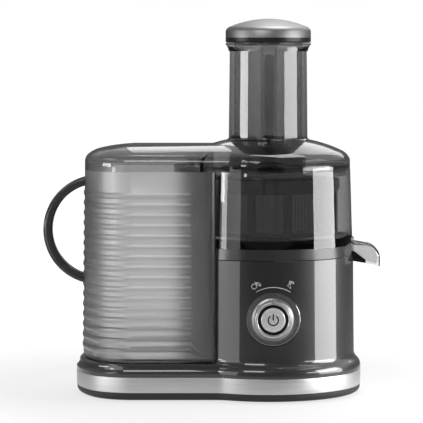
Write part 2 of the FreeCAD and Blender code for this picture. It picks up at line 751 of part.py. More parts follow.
commutator = turned("commutator_blank", [(dim.shaft_radius, comm_foot), (COMMUTATOR + 2, comm_foot),
                                         (COMMUTATOR + 2, comm_foot + 1.5), (COMMUTATOR, comm_foot + 1.5),
                                         (COMMUTATOR, comm_top), (dim.shaft_radius, comm_top)])
BARS = 24
BAR_GROOVE = (4, 0.6, 30)
BAR_STEP = 360 / BARS
bars = [
    place(box(f"bar{number}", (0, 0, 0), BAR_GROOVE), *polar(COMMUTATOR - 1, BAR_STEP * number, dim.tower_x),
          comm_foot - 2, turn=about_z(BAR_STEP * number))
    for number in range(BARS)
]
node(cut("commutator_cut", commutator, bars), "commutator")
BRUSH = 7
brushes = [
    place(box(f"brush{side}", (0, 0, 0), (18, BRUSH, BRUSH)),
          *polar(BRUSH / 2, side - 90, *polar(COMMUTATOR + dim.gap, side, dim.tower_x)), comm_foot + 2,
          turn=about_z(side))
    for side in (45, 225)
]
node(grouped("brush_set", brushes), "carbon_brushes")

FAN_FOOT = 37
FAN_TOP = FAN_FOOT + 10
FAN_RADIUS = 40
FAN_HUB = 9
fan_disc = turned("fan_disc", [
    (dim.shaft_radius, FAN_FOOT), (FAN_HUB, FAN_FOOT), (FAN_HUB, FAN_FOOT + 1), (FAN_RADIUS, FAN_FOOT + 1),
    (FAN_RADIUS, FAN_FOOT + 3), (FAN_HUB, FAN_FOOT + 3), (FAN_HUB, FAN_TOP), (dim.shaft_radius, FAN_TOP)])
BLADES = 11
BLADE = (28, 1.6, 8)
BLADE_LEAN = 14
blades = [
    place(box(f"blade{number}", (0, 0, 0), BLADE), *polar(FAN_HUB + 2, 360 / BLADES * number, dim.tower_x),
          FAN_TOP - BLADE[2], turn=about_z(360 / BLADES * number + BLADE_LEAN))
    for number in range(BLADES)
]
node(joined("fan", [fan_disc] + blades), "cooling_fan")

COUPLING_FOOT = dim.neck_top + 2.5
coupling_top = dim.basket_foot - 2.5


def hexagon(name, corner, foot, height):
    prism = doc.addObject("Part::Prism", name)
    prism.Polygon = 6
    bind(prism, "Circumradius", corner)
    bind(prism, "Height", height)
    return place(prism, dim.tower_x, 0, foot)


coupling = joined("coupling_body", [
    hexagon("coupling_hex", dim.coupling_flat, COUPLING_FOOT, coupling_top - COUPLING_FOOT),
    rod("coupling_collar", 9, 2, (dim.tower_x, 0, COUPLING_FOOT - 1))])
coupling_bore = rod("coupling_bore", dim.shaft_radius, 40, (dim.tower_x, 0, dim.neck_top - 10))
node(cut("coupling", coupling, [coupling_bore]), "drive_coupling")

# Bowl: a grey base ring with the juice gutter, a clear bowl bonded on it, and the spout.
ring_foot = dim.seam_top + dim.gap
ring_floor = ring_foot + dim.bowl_wall
ring_inner = dim.neck_radius + 2 * dim.gap
bowl_line = [(dim.seam_radius, ring_foot), (dim.bowl_foot_radius, dim.ring_top)]
ring = turned("ring_blank", [
    (ring_inner, ring_foot), *bowl_line, (dim.bowl_foot_radius - dim.bowl_wall, dim.ring_top),
    (dim.seam_radius - dim.bowl_wall, ring_floor), (ring_inner + dim.bowl_wall, ring_floor),
    (ring_inner + dim.bowl_wall, dim.ring_top), (ring_inner, dim.ring_top)])
OUTLET_HALF = 12
outlet = box("outlet", (dim.tower_x + dim.bowl_foot_radius - 8, -OUTLET_HALF, ring_floor),
             (20, 2 * OUTLET_HALF, dim.ring_top - ring_floor - 1.5))
node(cut("ring", ring, [outlet]), "bowl_base")

floor_top = dim.ring_top + dim.wall
FLOOR_ROUND = 8
chimney_top = floor_top + 5
bowl_blank = turned("bowl_blank", [
    (dim.chimney_radius, dim.ring_top), (dim.bowl_foot_radius, dim.ring_top), (dim.rim_radius, dim.rim_top),
    (dim.rim_radius - dim.bowl_wall, dim.rim_top),
    (dim.bowl_foot_radius - dim.bowl_wall - 0.3, floor_top + FLOOR_ROUND),
    (dim.bowl_foot_radius - dim.bowl_wall - FLOOR_ROUND, floor_top, -FLOOR_ROUND),
    (dim.chimney_radius + dim.bowl_wall, floor_top), (dim.chimney_radius + dim.bowl_wall, chimney_top),
    (dim.chimney_radius, chimney_top)])
RIB_SPAN = 13
RIB = (1.6, 3, 22)
lock_ribs = [
    box(f"lock_rib{side}", (dim.tower_x + side * RIB_SPAN / 2 - RIB[0] / 2, -dim.rim_radius - 1.2,
                            dim.rim_top - 2 - RIB[2]), RIB)
    for side in (-1, 1)
]
DRAIN_RADIUS = 6
DRAIN_X = 77
drain = rod("drain", DRAIN_RADIUS, 20, (dim.tower_x + DRAIN_X, 0, dim.ring_top - 5))
node(cut("bowl", joined("bowl_ribbed", [bowl_blank] + lock_ribs), [drain]), "juice_bowl")

spout_root = dim.tower_x + dim.seam_radius - 12
NOSE = 15.5
NOSE_FOOT = 148
SPOUT_SLOPE = math.radians(10)
OUTLET_LONG = 14
SPOUT_ROUND = 5
SPOUT_UNDER = ((0, 138.8), (6.3, 141.1), 146.8)
SPOUT_FLOOR = (156, 146.2)


def spout_top(inset):
    """The nose's arc and the sloping top of the spout, moved in by inset."""
    radius = NOSE - inset
    x = dim.spout_end - NOSE + radius * math.sin(SPOUT_SLOPE)
    z = NOSE_FOOT + radius * math.cos(SPOUT_SLOPE)
    root_z = z + (x - spout_root) * math.tan(SPOUT_SLOPE)
    return [(dim.spout_end - inset, NOSE_FOOT), (x, z, radius), (spout_root, root_z)]


spout = bodied("spout_form")
spout_side = sketched(spout, "spout_side", "XZ_Plane", [
    (spout_root, SPOUT_UNDER[2]), (dim.spout_end - SPOUT_UNDER[1][0], SPOUT_UNDER[1][1]),
    (dim.spout_end, SPOUT_UNDER[0][1]), *spout_top(0)])
spout_blank = padded(spout, spout_side, 2 * dim.spout_half, middle=True)
rounded(spout, spout_blank, SPOUT_ROUND,
        lambda edge: edge.YLength < 0.01 and edge.ZMax > NOSE_FOOT - 0.1 and edge.XMax > spout_root.value + 1)
spout_inside = bodied("spout_inside")
outlet_foot = SPOUT_UNDER[0][1] - 8
padded(spout_inside, sketched(spout_inside, "spout_inside_side", "XZ_Plane", [
    (spout_root, SPOUT_FLOOR[0]), (dim.tower_x + dim.seam_radius, SPOUT_FLOOR[0]),
    (dim.spout_end - OUTLET_LONG - 2, SPOUT_FLOOR[1]), (dim.spout_end - OUTLET_LONG - 1, outlet_foot),
    (dim.spout_end - dim.spout_wall, outlet_foot), *spout_top(dim.spout_wall)]),
    2 * (dim.spout_half - dim.spout_wall), middle=True)
BODY_CLEAR = 0.5
body_foot = outlet_foot - 10
body_form = turned("body_form", [
    (0, body_foot), (dim.seam_radius + BODY_CLEAR, body_foot), (dim.seam_radius + BODY_CLEAR, ring_foot),
    *bowl_line, (dim.rim_radius, dim.rim_top), (0, dim.rim_top)])
COLLAR_HALF = 21
COLLAR_ROUND = 9
COLLAR_PROUD = 1.5
COLLAR_TOP = 170
collar_ring = turned("collar_ring", [
    (dim.seam_radius - 3, ring_foot), (dim.seam_radius + COLLAR_PROUD, ring_foot),
    (dim.bowl_foot_radius + COLLAR_PROUD, COLLAR_TOP + 1), (dim.bowl_foot_radius - 3, COLLAR_TOP + 1)],
    angle=40, middle=True)
collar_face = bodied("collar_face")
padded(collar_face, sketched(collar_face, "collar_outline", "YZ_Plane", [
    (COLLAR_HALF, outlet_foot), (COLLAR_HALF, COLLAR_TOP - COLLAR_ROUND),
    (COLLAR_HALF - COLLAR_ROUND, COLLAR_TOP, COLLAR_ROUND), (COLLAR_ROUND - COLLAR_HALF, COLLAR_TOP),
    (-COLLAR_HALF, COLLAR_TOP - COLLAR_ROUND, COLLAR_ROUND), (-COLLAR_HALF, outlet_foot)]), dim.spout_end)
collar = shared("collar", [collar_ring, collar_face])
node(cut("spout", joined("spout_body", [spout, collar]), [spout_inside, body_form]), "juice_spout")

# Filter basket: a black frame with windows, a mesh behind them, the grater disc and the hub.
BASKET_WALL = 3
BAND_PROUD = 1.5
HUB_RADIUS = 19
HUB_DISC = 24
basket_floor = dim.basket_foot + BASKET_WALL
frame = turned("frame_blank", [
    (HUB_DISC, dim.basket_foot), (dim.basket_radius - 2, dim.basket_foot),
    (dim.basket_radius, dim.basket_foot + 2, 2), (dim.basket_radius, dim.basket_band),
    (dim.basket_radius + BAND_PROUD, dim.basket_band), (dim.basket_radius + BAND_PROUD, dim.basket_top - 1),
    (dim.basket_radius + BAND_PROUD - 1, dim.basket_top, 1),
    (dim.basket_radius - BASKET_WALL, dim.basket_top),
    (dim.basket_radius - BASKET_WALL, basket_floor), (HUB_DISC, basket_floor)])
WINDOWS = 12
WINDOW_STEP = 360 / WINDOWS
WINDOW_WIDE = 32
window_foot = basket_floor + 3
openings = [
    place(box(f"opening{number}", (0, 0, 0), (30, WINDOW_WIDE, dim.basket_band - 3 - window_foot)),
          *polar(WINDOW_WIDE / 2, WINDOW_STEP * number - 90, *polar(60, WINDOW_STEP * number, dim.tower_x)),
          window_foot, turn=about_z(WINDOW_STEP * number))
    for number in range(WINDOWS)
]
node(cut("frame", frame, openings), "basket_frame")
MESH_WALL = 0.6
mesh_radius = dim.basket_radius - BASKET_WALL
mesh_foot = basket_floor + 0.5
mesh_top = dim.basket_band + 4
node(turned("mesh", [(mesh_radius - MESH_WALL, mesh_foot), (mesh_radius, mesh_foot), (mesh_radius, mesh_top),
                     (mesh_radius - MESH_WALL, mesh_top)]), "filter_mesh")
hub_blank = turned("hub_blank", [
    (0, COUPLING_FOOT + 1), (HUB_RADIUS, COUPLING_FOOT + 1), (HUB_RADIUS, dim.basket_foot),
    (HUB_DISC, dim.basket_foot), (HUB_DISC, basket_floor), (0, basket_floor)])
node(cut("hub", hub_blank, [hexagon("hub_pocket", dim.coupling_flat + 0.25, COUPLING_FOOT,
                                    coupling_top + 0.5 - COUPLING_FOOT)]), "basket_hub")
DISC_WALL = 1.2
KNOB = 11
KNOB_RISE = 4
KNOB_CROWN = 1.5
disc_top = basket_floor + DISC_WALL
disc_blank = turned("disc_blank", [
    (0, basket_floor), (dim.disc_radius, basket_floor), (dim.disc_radius, disc_top), (KNOB + 5, disc_top),
    (KNOB, disc_top + KNOB_RISE, -9), (0, disc_top + KNOB_RISE + KNOB_CROWN, crown(KNOB, KNOB_CROWN))])
TOOTH_ROWS = 12
TOOTH_RINGS = (22, 30, 38, 46, 54, 62)
TOOTH_SWIRL = 9
TOOTH = {"Xmin": 0, "Xmax": 4, "Ymin": 0, "Ymax": 1.8, "Zmin": 0, "Zmax": 3,
         "X2min": 1, "X2max": 1.6, "Z2min": 1.2, "Z2max": 1.8}


def tooth(name, radius, degrees):
    """A small punched tooth, leaning into the turn."""
    wedge = doc.addObject("Part::Wedge", name)
    for path, value in TOOTH.items():
        setattr(wedge, path, value)
    lean = about_z(degrees).multiply(FreeCAD.Rotation(FreeCAD.Vector(1, 0, 0), 90))
    return place(wedge, *polar(radius, degrees, dim.tower_x), disc_top - 0.2, turn=lean)


teeth = [tooth(f"tooth{row}_{number}", radius, 360 / TOOTH_ROWS * row + TOOTH_SWIRL * number)
         for row in range(TOOTH_ROWS) for number, radius in enumerate(TOOTH_RINGS)]
node(joined("disc", [disc_blank] + teeth), "grater_disc")

# Lid: a turned dome over the bowl joined to a swept roof over the bin, hollowed, with the pulp apron.
lid_foot = dim.rim_top + dim.gap
lid_radius = dim.rim_radius - dim.gap
SHOULDER_ARC = 18
DOME_ARC = 140


def dome(name, inset, foot):
    """The round half of the lid as a solid, its surface moved in by inset."""
    return turned(name, [
        (0, foot), (lid_radius - inset, foot), (lid_radius - inset, dim.lid_skirt - inset * 0.4),
        (dim.dome_shoulder - inset * 0.5, dim.shoulder_top - inset * 0.9, SHOULDER_ARC),
        (dim.tube_foot_radius, dim.dome_top - inset, DOME_ARC), (0, dim.dome_top - inset)])


# The roof over the bin, in section: arcs that end at these distances in from the wall, heights above
# the eaves and slopes in degrees, with their radii.
ROOF_ARCS = ((3.6, 7.7, 40, 10), (15.6, 13.8, 14, 30), (44, 18.1, 3, 150))
ROOF_FLAT = 0.6
ROOF_LAP = 1.5


def roof(name, inset, foot):
    """The left half of the lid as a solid, its surface moved in by inset."""
    body = bodied(name)
    eaves = dim.ridge_top - ROOF_ARCS[-1][1]
    corners = [inward(dim.lid_inset + inset, foot)]
    reach = dim.lid_inset + ROOF_ARCS[-1][0] + ROOF_FLAT
    corners.append(inward(reach, foot))
    bends = []
    for across, up, slope, radius in ROOF_ARCS:
        tilt = math.radians(slope)
        bends.append((dim.lid_inset + across + inset * math.sin(tilt),
                      eaves + up - inset * math.cos(tilt), radius - inset))
    top = bends[-1][1]
    corners.append(inward(reach, top))
    corners.append(inward(*bends[-1][:2]))
    for (across, up, _), (_, _, radius) in zip(bends[-2::-1], bends[:0:-1]):
        corners.append(inward(across, up, radius))
    corners.append(inward(dim.lid_inset + inset, eaves, bends[0][2]))
    section = sketched(body, f"{name}_section", "YZ_Plane", corners, lift=dim.tower_x)
    swept(body, section, left_path(body, f"{name}_path", dim.tower_x))
    padded(body, sketched(body, f"{name}_middle", "XY_Plane",
                          lobe_outline(reach - ROOF_LAP, dim.tower_x), lift=foot), top - foot)
    return body


lid_form = joined("lid_form", [dome("dome_outer", 0, lid_foot), roof("roof_outer", sized(0), lid_foot)])
lid_hollow = [dome("dome_inner", dim.bowl_wall, lid_foot - 1),
              roof("roof_inner", dim.bowl_wall, lid_foot - 1)]
tube_hole = rod("tube_hole", dim.tube_foot_radius, 60, (dim.tower_x, 0, 240))
lid_shell = cut("lid_shell", lid_form, lid_hollow + [tube_hole])
LIP_REACH = 6
lip_radius = dim.rim_radius - dim.bowl_wall - 2 * dim.gap
lip = turned("lip", [
    (lip_radius - dim.bowl_wall, dim.rim_top - LIP_REACH), (lip_radius, dim.rim_top - LIP_REACH),
    (lip_radius, lid_foot + 2), (lid_radius - 1, lid_foot + 2), (lid_radius - 1, lid_foot + 5),
    (lip_radius - dim.bowl_wall, lid_foot + 5)], angle=360 - dim.apron_turn, middle=True)
APRON_WALL = 2.4
apron = turned("apron", [
    (dim.apron_radius - APRON_WALL, dim.apron_foot), (dim.apron_radius, dim.apron_foot),
    (dim.apron_radius, dim.apron_top), (dim.apron_radius - APRON_WALL, dim.apron_top)],
    turn=about_z(180), angle=dim.apron_turn, middle=True)
CHEEK_TURN = 45.2
cheeks = [
    place(box(f"cheek{side}", (0, 0, 0), (30, APRON_WALL, 20)),
          *polar(dim.apron_radius - 12, 180 - side * CHEEK_TURN, dim.tower_x, -APRON_WALL / 2),
          lid_foot + 0.2, turn=about_z(180 - side * CHEEK_TURN))
    for side in (-1, 1)
]
cheek_set = shared("cheek_set", [joined("cheek_pair", cheeks), lid_form])
LUG_TURN = 17
LUG_PROUD = 1.4
lug = turned("lug", [
    (lid_radius - 1, lid_foot), (lid_radius + LUG_PROUD, lid_foot),
    (lid_radius + LUG_PROUD, dim.lid_skirt - 1), (lid_radius + 0.6, dim.lid_skirt),
    (lid_radius - 1, dim.lid_skirt)],
    turn=about_z(-90), angle=LUG_TURN, middle=True)
node(joined("lid_whole", [lid_shell, lip, apron, cheek_set, lug]), "lid")

# Feed tube with its flared mouth and guide key, and the pusher that slides in it.
tube_bore = dim.tube_top_radius - dim.tube_wall
KEY_DEPTH = 2.6
TUBE_SEAT = 6
tube = turned("tube", [
    (tube_bore, dim.tube_end), (tube_bore + 2.2, dim.tube_end),
    (dim.tube_foot_radius - 1.2, dim.dome_top - TUBE_SEAT), (dim.tube_foot_radius, dim.dome_top - TUBE_SEAT),
    (dim.tube_foot_radius, dim.dome_top),
    (dim.tube_foot_radius + 2, dim.dome_top), (dim.tube_foot_radius, dim.dome_top + 2.5, -2.5),
    (dim.tube_top_radius, dim.tube_rim_foot), (dim.tube_top_radius + 1.1, dim.tube_rim_foot),
    (dim.tube_rim_radius, dim.tube_rim_top - 0.8, -14), (dim.tube_rim_radius - 0.8, dim.tube_rim_top, 0.8),
    (dim.tube_rim_radius - 2.4, dim.tube_rim_top), (tube_bore, dim.tube_rim_foot)])
key = box("tube_key", (dim.tower_x - dim.key_width / 2, -tube_bore - 1, dim.tube_end),
          (dim.key_width, KEY_DEPTH + 1, dim.tube_rim_foot - dim.tube_end - 4))
node(joined("tube_keyed", [tube, key]), "feed_tube")

ring_low = dim.tube_rim_top + dim.gap
pusher_bore = dim.pusher_radius - dim.pusher_wall
pusher_floor = dim.pusher_foot + dim.pusher_wall
cup = turned("cup", [
    (0, dim.pusher_foot), (dim.pusher_radius - 2, dim.pusher_foot),
    (dim.pusher_radius, dim.pusher_foot + 2, 2), (dim.pusher_radius, dim.cap_foot),
    (pusher_bore, dim.cap_foot), (pusher_bore, pusher_floor), (0, pusher_floor)])
WAY_WALL = 3
WAY_CLEAR = 0.6
way_deep = KEY_DEPTH + 1.6
way_half = dim.key_width / 2 + WAY_CLEAR
way_wall = box("way_wall", (dim.tower_x - way_half - WAY_WALL, -dim.pusher_radius + 1.5, dim.pusher_foot + 1),
               (2 * (way_half + WAY_WALL), way_deep + 1, dim.cap_foot - 2 - dim.pusher_foot))
way = box("way", (dim.tower_x - way_half, -dim.pusher_radius - 2, dim.pusher_foot - 1),
          (2 * way_half, way_deep + 1.4, dim.tube_rim_foot - dim.pusher_foot + 4))
node(cut("pusher", joined("pusher_lined", [cup, way_wall]), [way]), "pusher_body")
node(turned("collar_dark", [
    (dim.pusher_radius, ring_low), (dim.tube_rim_radius - 1.6, ring_low), (dim.cap_radius, ring_low + 1.6),
    (dim.cap_radius, dim.cap_foot), (dim.pusher_radius, dim.cap_foot)]), "pusher_ring")
CAP_WALL = 1.2
cap_shoulder = dim.cap_radius - 5.6
shoulder_height = dim.cap_side + 5.2
cap_crown = crown(cap_shoulder, dim.cap_top - shoulder_height)
node(turned("cap", [
    (dim.cap_radius, dim.cap_foot), (dim.cap_radius, dim.cap_side), (cap_shoulder, shoulder_height, 8),
    (0, dim.cap_top, cap_crown), (0, dim.cap_top - CAP_WALL),
    (cap_shoulder, shoulder_height - CAP_WALL, -cap_crown), (dim.cap_radius - CAP_WALL, dim.cap_side, -7),
    (dim.cap_radius - CAP_WALL, dim.cap_foot)]), "pusher_cap")

# Pulp bin: a tapered lobe with a hollow side round the tower, horizontal ribs and a loop handle.
BIN_CORNER = 8
BIN_CHAMFER = 2.5
taper = (dim.bin_inset_top - dim.bin_inset_foot) / (dim.bin_top - dim.bin_foot)


def bin_inset(height):
    return dim.bin_inset_foot + (height - dim.bin_foot) * taper


def bin_outline(inset, right):
    """The left lobe with its two right corners rounded."""
    half = dim.lobe_half - inset
    return [(right, BIN_CORNER - half, BIN_CORNER), (right, half - BIN_CORNER),
            (right - BIN_CORNER, half, BIN_CORNER), *lobe_left_end(inset), (right - BIN_CORNER, -half)]


def bin_form(name, thick, foot, top):
    """The bin as a tapered solid, its surface moved in by thick."""
    body = bodied(name)
    right = dim.bin_right - thick
    levels = ((foot, BIN_CHAMFER), (foot + BIN_CHAMFER, 0), (top, 0))
    layers = [
        sketched(body, f"{name}_level{number}", "XY_Plane",
                 bin_outline(bin_inset(height) + thick + draw, right), lift=height)
        for number, (height, draw) in enumerate(levels)
    ]
    loft = body.newObject("PartDesign::AdditiveLoft", f"{name}_loft")
    loft.Profile = layers[0]
    loft.Sections = layers[1:]
    loft.Ruled = True
    return body


bin_height = dim.bin_top - dim.bin_foot
SKIRT_CLEAR = 0.6
skirt_form = turned("skirt_form", [
    (0, dim.skirt_straight), (dim.base_radius - ogee_in + SKIRT_CLEAR, dim.skirt_straight + ogee_up),
    (tower_radius + SKIRT_CLEAR, dim.skirt_top), (0, dim.skirt_top)])
bin_outer = cut("bin_outer", bin_form("bin_skin", sized(0), dim.bin_foot, dim.bin_top),
                [rod("bin_side", dim.bin_hollow, 2 * bin_height, (dim.tower_x, 0, 0)), skirt_form])
bin_lining = bin_form("bin_lining", dim.bin_wall, dim.bin_foot + dim.bin_wall, dim.bin_top + 5)
bin_inner = cut("bin_inner", bin_lining, [
    rod("bin_lining_side", dim.bin_hollow + dim.bin_wall, 2 * bin_height, (dim.tower_x, 0, 0))])
LOW_HALF = 73
low_side = shared("low_side", [
    rod("low_side_round", dim.bin_hollow + 2 * dim.bin_wall, 90, (dim.tower_x, 0, dim.bin_low_side)),
    box("low_side_span", (-60, -LOW_HALF, dim.bin_low_side), (80, 2 * LOW_HALF, 90))])
RIB_ROOT = 0.4
RIB_BACK = 1.4
rib_arc = crown(dim.rib_half, dim.rib_rise + RIB_ROOT)
ribs = bodied("ribs")
lowest = dim.rib_first - dim.rib_half - 2
rib_corners = [inward(bin_inset(lowest) + RIB_BACK, lowest), inward(bin_inset(lowest) + RIB_ROOT, lowest)]
for number in range(int(dim.rib_count.value)):
    middle = dim.rib_first + dim.rib_pitch * number
    for height, arc in ((middle - dim.rib_half, ()), (middle + dim.rib_half, (-rib_arc,))):
        rib_corners.append(inward(bin_inset(height) + RIB_ROOT, height, *arc))
highest = middle + dim.rib_half + 2
rib_corners.append(inward(bin_inset(highest) + RIB_ROOT, highest))
rib_corners.append(inward(bin_inset(highest) + RIB_BACK, highest))
rib_start = -dim.rib_end
swept(ribs, sketched(ribs, "rib_section", "YZ_Plane", rib_corners, lift=rib_start),
      left_path(ribs, "rib_path", rib_start))
node(joined("bin_ribbed", [cut("bin_shell", bin_outer, [bin_inner, low_side]), ribs]), "pulp_bin")

handle_half = dim.handle_wide / 2
inside = dim.handle_inner
outside = dim.handle_outer
bend = dim.handle_round
handle = bodied("handle_ring")
spun(handle, sketched(handle, "handle_section", "XY_Plane", [
    (inside + bend, -handle_half, bend), (outside - bend, -handle_half), (outside, bend - handle_half, bend),
    (outside, handle_half - bend), (outside - bend, handle_half, bend), (inside + bend, handle_half),
    (inside, handle_half - bend, bend), (inside, bend - handle_half)]))
place(handle, -dim.handle_x, 0, dim.handle_z)
node(cut("handle", handle, [joined("bin_solid", [bin_outer, ribs])]), "bin_handle")

# Dial: a dished bezel in the tower's opening, the selector ring and its spindle, and the button.
front = {"x": dim.dial_x, "z": dim.dial_z, "turn": FACING_FRONT}
SPINDLE = 9.5
BOARD_TOP = 67
BEZEL_DEEP = 8
BEZEL_WALL = 3
BEZEL_POST = 2.4
BEZEL_POST_RING = 24
bezel_floor = dim.dial_rim - BEZEL_DEEP
bezel_face = bezel_floor + BEZEL_WALL
bezel_bore = SPINDLE + RUNNING_FIT
bezel = turned("bezel_dish", [
    (bezel_bore, bezel_floor), (dim.bezel_radius, bezel_floor), (dim.bezel_radius, dim.dial_rim - 0.6),
    (dim.bezel_radius - 0.6, dim.dial_rim, 0.6), (dim.bezel_radius - 1.4, dim.dial_rim),
    (dim.selector_radius + 0.6, bezel_face, -12), (bezel_bore, bezel_face)], **front)
bezel_posts = []
for number, angle in enumerate((20, 160, 270)):
    x, z = polar(BEZEL_POST_RING, angle, dim.dial_x, dim.dial_z)
    bezel_posts.append(rod(f"bezel_post{number}", BEZEL_POST, bezel_floor + 1 - BOARD_TOP,
                           (x, -BOARD_TOP, z), FACING_FRONT))
node(joined("bezel", [bezel] + bezel_posts), "dial_bezel")
RING_DEEP = 12.4
RING_STEP = 1
ring_back = bezel_face + 0.4
ring_front = ring_back + RING_DEEP
selector = turned("selector_blank", [
    (dim.groove_radius, ring_back), (dim.selector_radius, ring_back),
    (dim.selector_radius - 0.4, ring_back + 4), (dim.selector_face + RING_STEP / 2, ring_front - 1.2, 16),
    (dim.selector_face - RING_STEP / 2, ring_front - 1.2),
    (dim.selector_face - RING_STEP / 2, ring_front - 0.5),
    (dim.selector_face - RING_STEP, ring_front, 0.5), (dim.groove_radius + 0.8, ring_front),
    (dim.groove_radius, ring_front - 0.8)], **front)
NOTCH = (1.4, 5, 10)
notch = box("notch", (dim.dial_x - NOTCH[0] / 2, -ring_front - 1, dim.dial_z + dim.groove_radius - 1), NOTCH)
node(cut("selector", selector, [notch]), "selector_ring")
STEM = 4
SPINDLE_END = 71
spindle_bore = STEM + RUNNING_FIT
spindle_floor = ring_back + 2.6
node(turned("spindle", [
    (spindle_bore, SPINDLE_END), (SPINDLE, SPINDLE_END), (SPINDLE, ring_back), (dim.groove_radius, ring_back),
    (dim.groove_radius, spindle_floor), (spindle_bore, spindle_floor)], **front), "dial_spindle")
button_back = spindle_floor + dim.button_travel + 0.5
button_front = ring_front + 0.6
STEM_END = 74
BUTTON_EDGE = 1.2
BUTTON_CROWN = 0.5
button_flat = dim.button_radius - BUTTON_EDGE
node(turned("button", [
    (0, STEM_END), (STEM, STEM_END), (STEM, button_back), (dim.button_radius, button_back),
    (dim.button_radius, button_front - BUTTON_EDGE), (button_flat, button_front, BUTTON_EDGE),
    (0, button_front + BUTTON_CROWN, crown(button_flat, BUTTON_CROWN))], **front), "power_button")
BOARD = (64, 1.6, 48)
node(box("board", (dim.dial_x - BOARD[0] / 2, -BOARD_TOP, dim.dial_z - BOARD[2] / 2), BOARD), "control_board")
SWITCH_RADIUS = 16
SWITCH_TOP = 75.5
switch_bore = SPINDLE + dim.gap
node(turned("switch_ring", [
    (switch_bore, BOARD_TOP), (SWITCH_RADIUS, BOARD_TOP), (SWITCH_RADIUS, SWITCH_TOP - 1),
    (SWITCH_RADIUS - 1, SWITCH_TOP), (switch_bore, SWITCH_TOP)], **front), "selector_switch")
TACT = (10, 3.4, 10)
PLUNGER = 2.4
node(joined("tact", [
    box("tact_body", (dim.dial_x - TACT[0] / 2, -BOARD_TOP - TACT[1], dim.dial_z - TACT[2] / 2), TACT),
    rod("tact_plunger", PLUNGER, 1.2, (dim.dial_x, -BOARD_TOP - 3, dim.dial_z), FACING_FRONT),
]), "power_switch")

# Cord inlet at the back, in the gap of the band. The cord itself isn't shown.
GLAND_BORE = 3.7
gland_deep = 11
gland_back = dim.base_radius - 0.9
gland_block = box("gland_block", (dim.tower_x - GLAND_HALF + 0.2, gland_back - gland_deep, dim.pan_top),
                  (2 * GLAND_HALF - 0.4, gland_deep, dim.band_top - dim.pan_top - 0.2))
gland_z = (dim.pan_top + dim.band_top) / 2
bush = rod("gland_bush", 6.4, gland_deep + 0.9, (dim.tower_x, dim.base_radius, gland_z), FACING_FRONT)
gland_bore = rod("gland_bore", GLAND_BORE, 60, (dim.tower_x, dim.base_radius + 20, gland_z), FACING_FRONT)
node(cut("gland", joined("gland_body", [gland_block, bush]), [gland_bore]), "cord_gland")

doc.recompute()
faults = [thing.Name for thing in doc.Objects if "Invalid" in thing.State or "Error" in thing.State]
if faults:
    raise RuntimeError(f"objects in error: {faults}")
os.makedirs("parts", exist_ok=True)
for thing in nodes:
    shape = thing.Shape
    if shape.isNull() or not shape.isValid() or not shape.Solids:
        raise RuntimeError(f"{thing.Label} has no sound solid")
    shape.exportStep(f"parts/{thing.Label}.step")
print(f"{len(nodes)} pieces written")
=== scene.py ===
"""Finishes, printed signs and studio for a centrifugal juicer."""

import json
import math

import bmesh
import bpy
from bpy.props import FloatProperty, FloatVectorProperty, PointerProperty
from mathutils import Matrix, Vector


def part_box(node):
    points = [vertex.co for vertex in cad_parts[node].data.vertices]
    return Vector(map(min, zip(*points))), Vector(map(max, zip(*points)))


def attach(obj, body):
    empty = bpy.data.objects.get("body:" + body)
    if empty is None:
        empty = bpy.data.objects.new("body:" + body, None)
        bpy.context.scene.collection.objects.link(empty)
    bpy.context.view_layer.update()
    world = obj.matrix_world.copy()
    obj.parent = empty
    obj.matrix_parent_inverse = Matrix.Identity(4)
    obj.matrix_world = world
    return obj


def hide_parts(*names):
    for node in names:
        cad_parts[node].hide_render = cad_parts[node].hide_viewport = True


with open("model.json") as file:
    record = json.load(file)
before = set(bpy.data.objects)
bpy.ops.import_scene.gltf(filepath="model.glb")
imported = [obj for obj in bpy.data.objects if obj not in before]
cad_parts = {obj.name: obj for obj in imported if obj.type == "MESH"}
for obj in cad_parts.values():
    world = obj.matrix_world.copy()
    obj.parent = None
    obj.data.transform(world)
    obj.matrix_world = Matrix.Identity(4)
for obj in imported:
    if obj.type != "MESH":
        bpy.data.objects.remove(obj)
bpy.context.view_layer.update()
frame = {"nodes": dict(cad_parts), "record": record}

bl_info = {
    "name": "Juicer finishes",
    "version": (1, 0, 0),
    "blender": (4, 5, 0),
    "location": "View3D > Sidebar > Juicer",
    "description": "Gives a centrifugal juicer its lacquer, tinted plastic, metal, printed signs and studio",
    "category": "Object",
}

MM = 0.001
WHITE = (1, 1, 1, 1)
# Directions of a turned piece's axis: up, and from front to back.
UPRIGHT = (0, 0, 1)
LEVEL = (0, 1, 0)
BODY_OF = {node: body for body, nodes in frame["record"]["behaviour"]["bodies"].items() for node in nodes}


def tone(name, value, words):
    """A colour property."""
    return FloatVectorProperty(name=name, description=words, subtype="COLOR", size=3, min=0, max=1,
                               default=value)


def length(name, value, words):
    """A length property."""
    return FloatProperty(name=name, description=words, subtype="DISTANCE", unit="LENGTH", min=0,
                         default=value)


def share(name, value, words):
    """A property between nothing and all."""
    return FloatProperty(name=name, description=words, subtype="FACTOR", min=0.01, max=1, default=value)


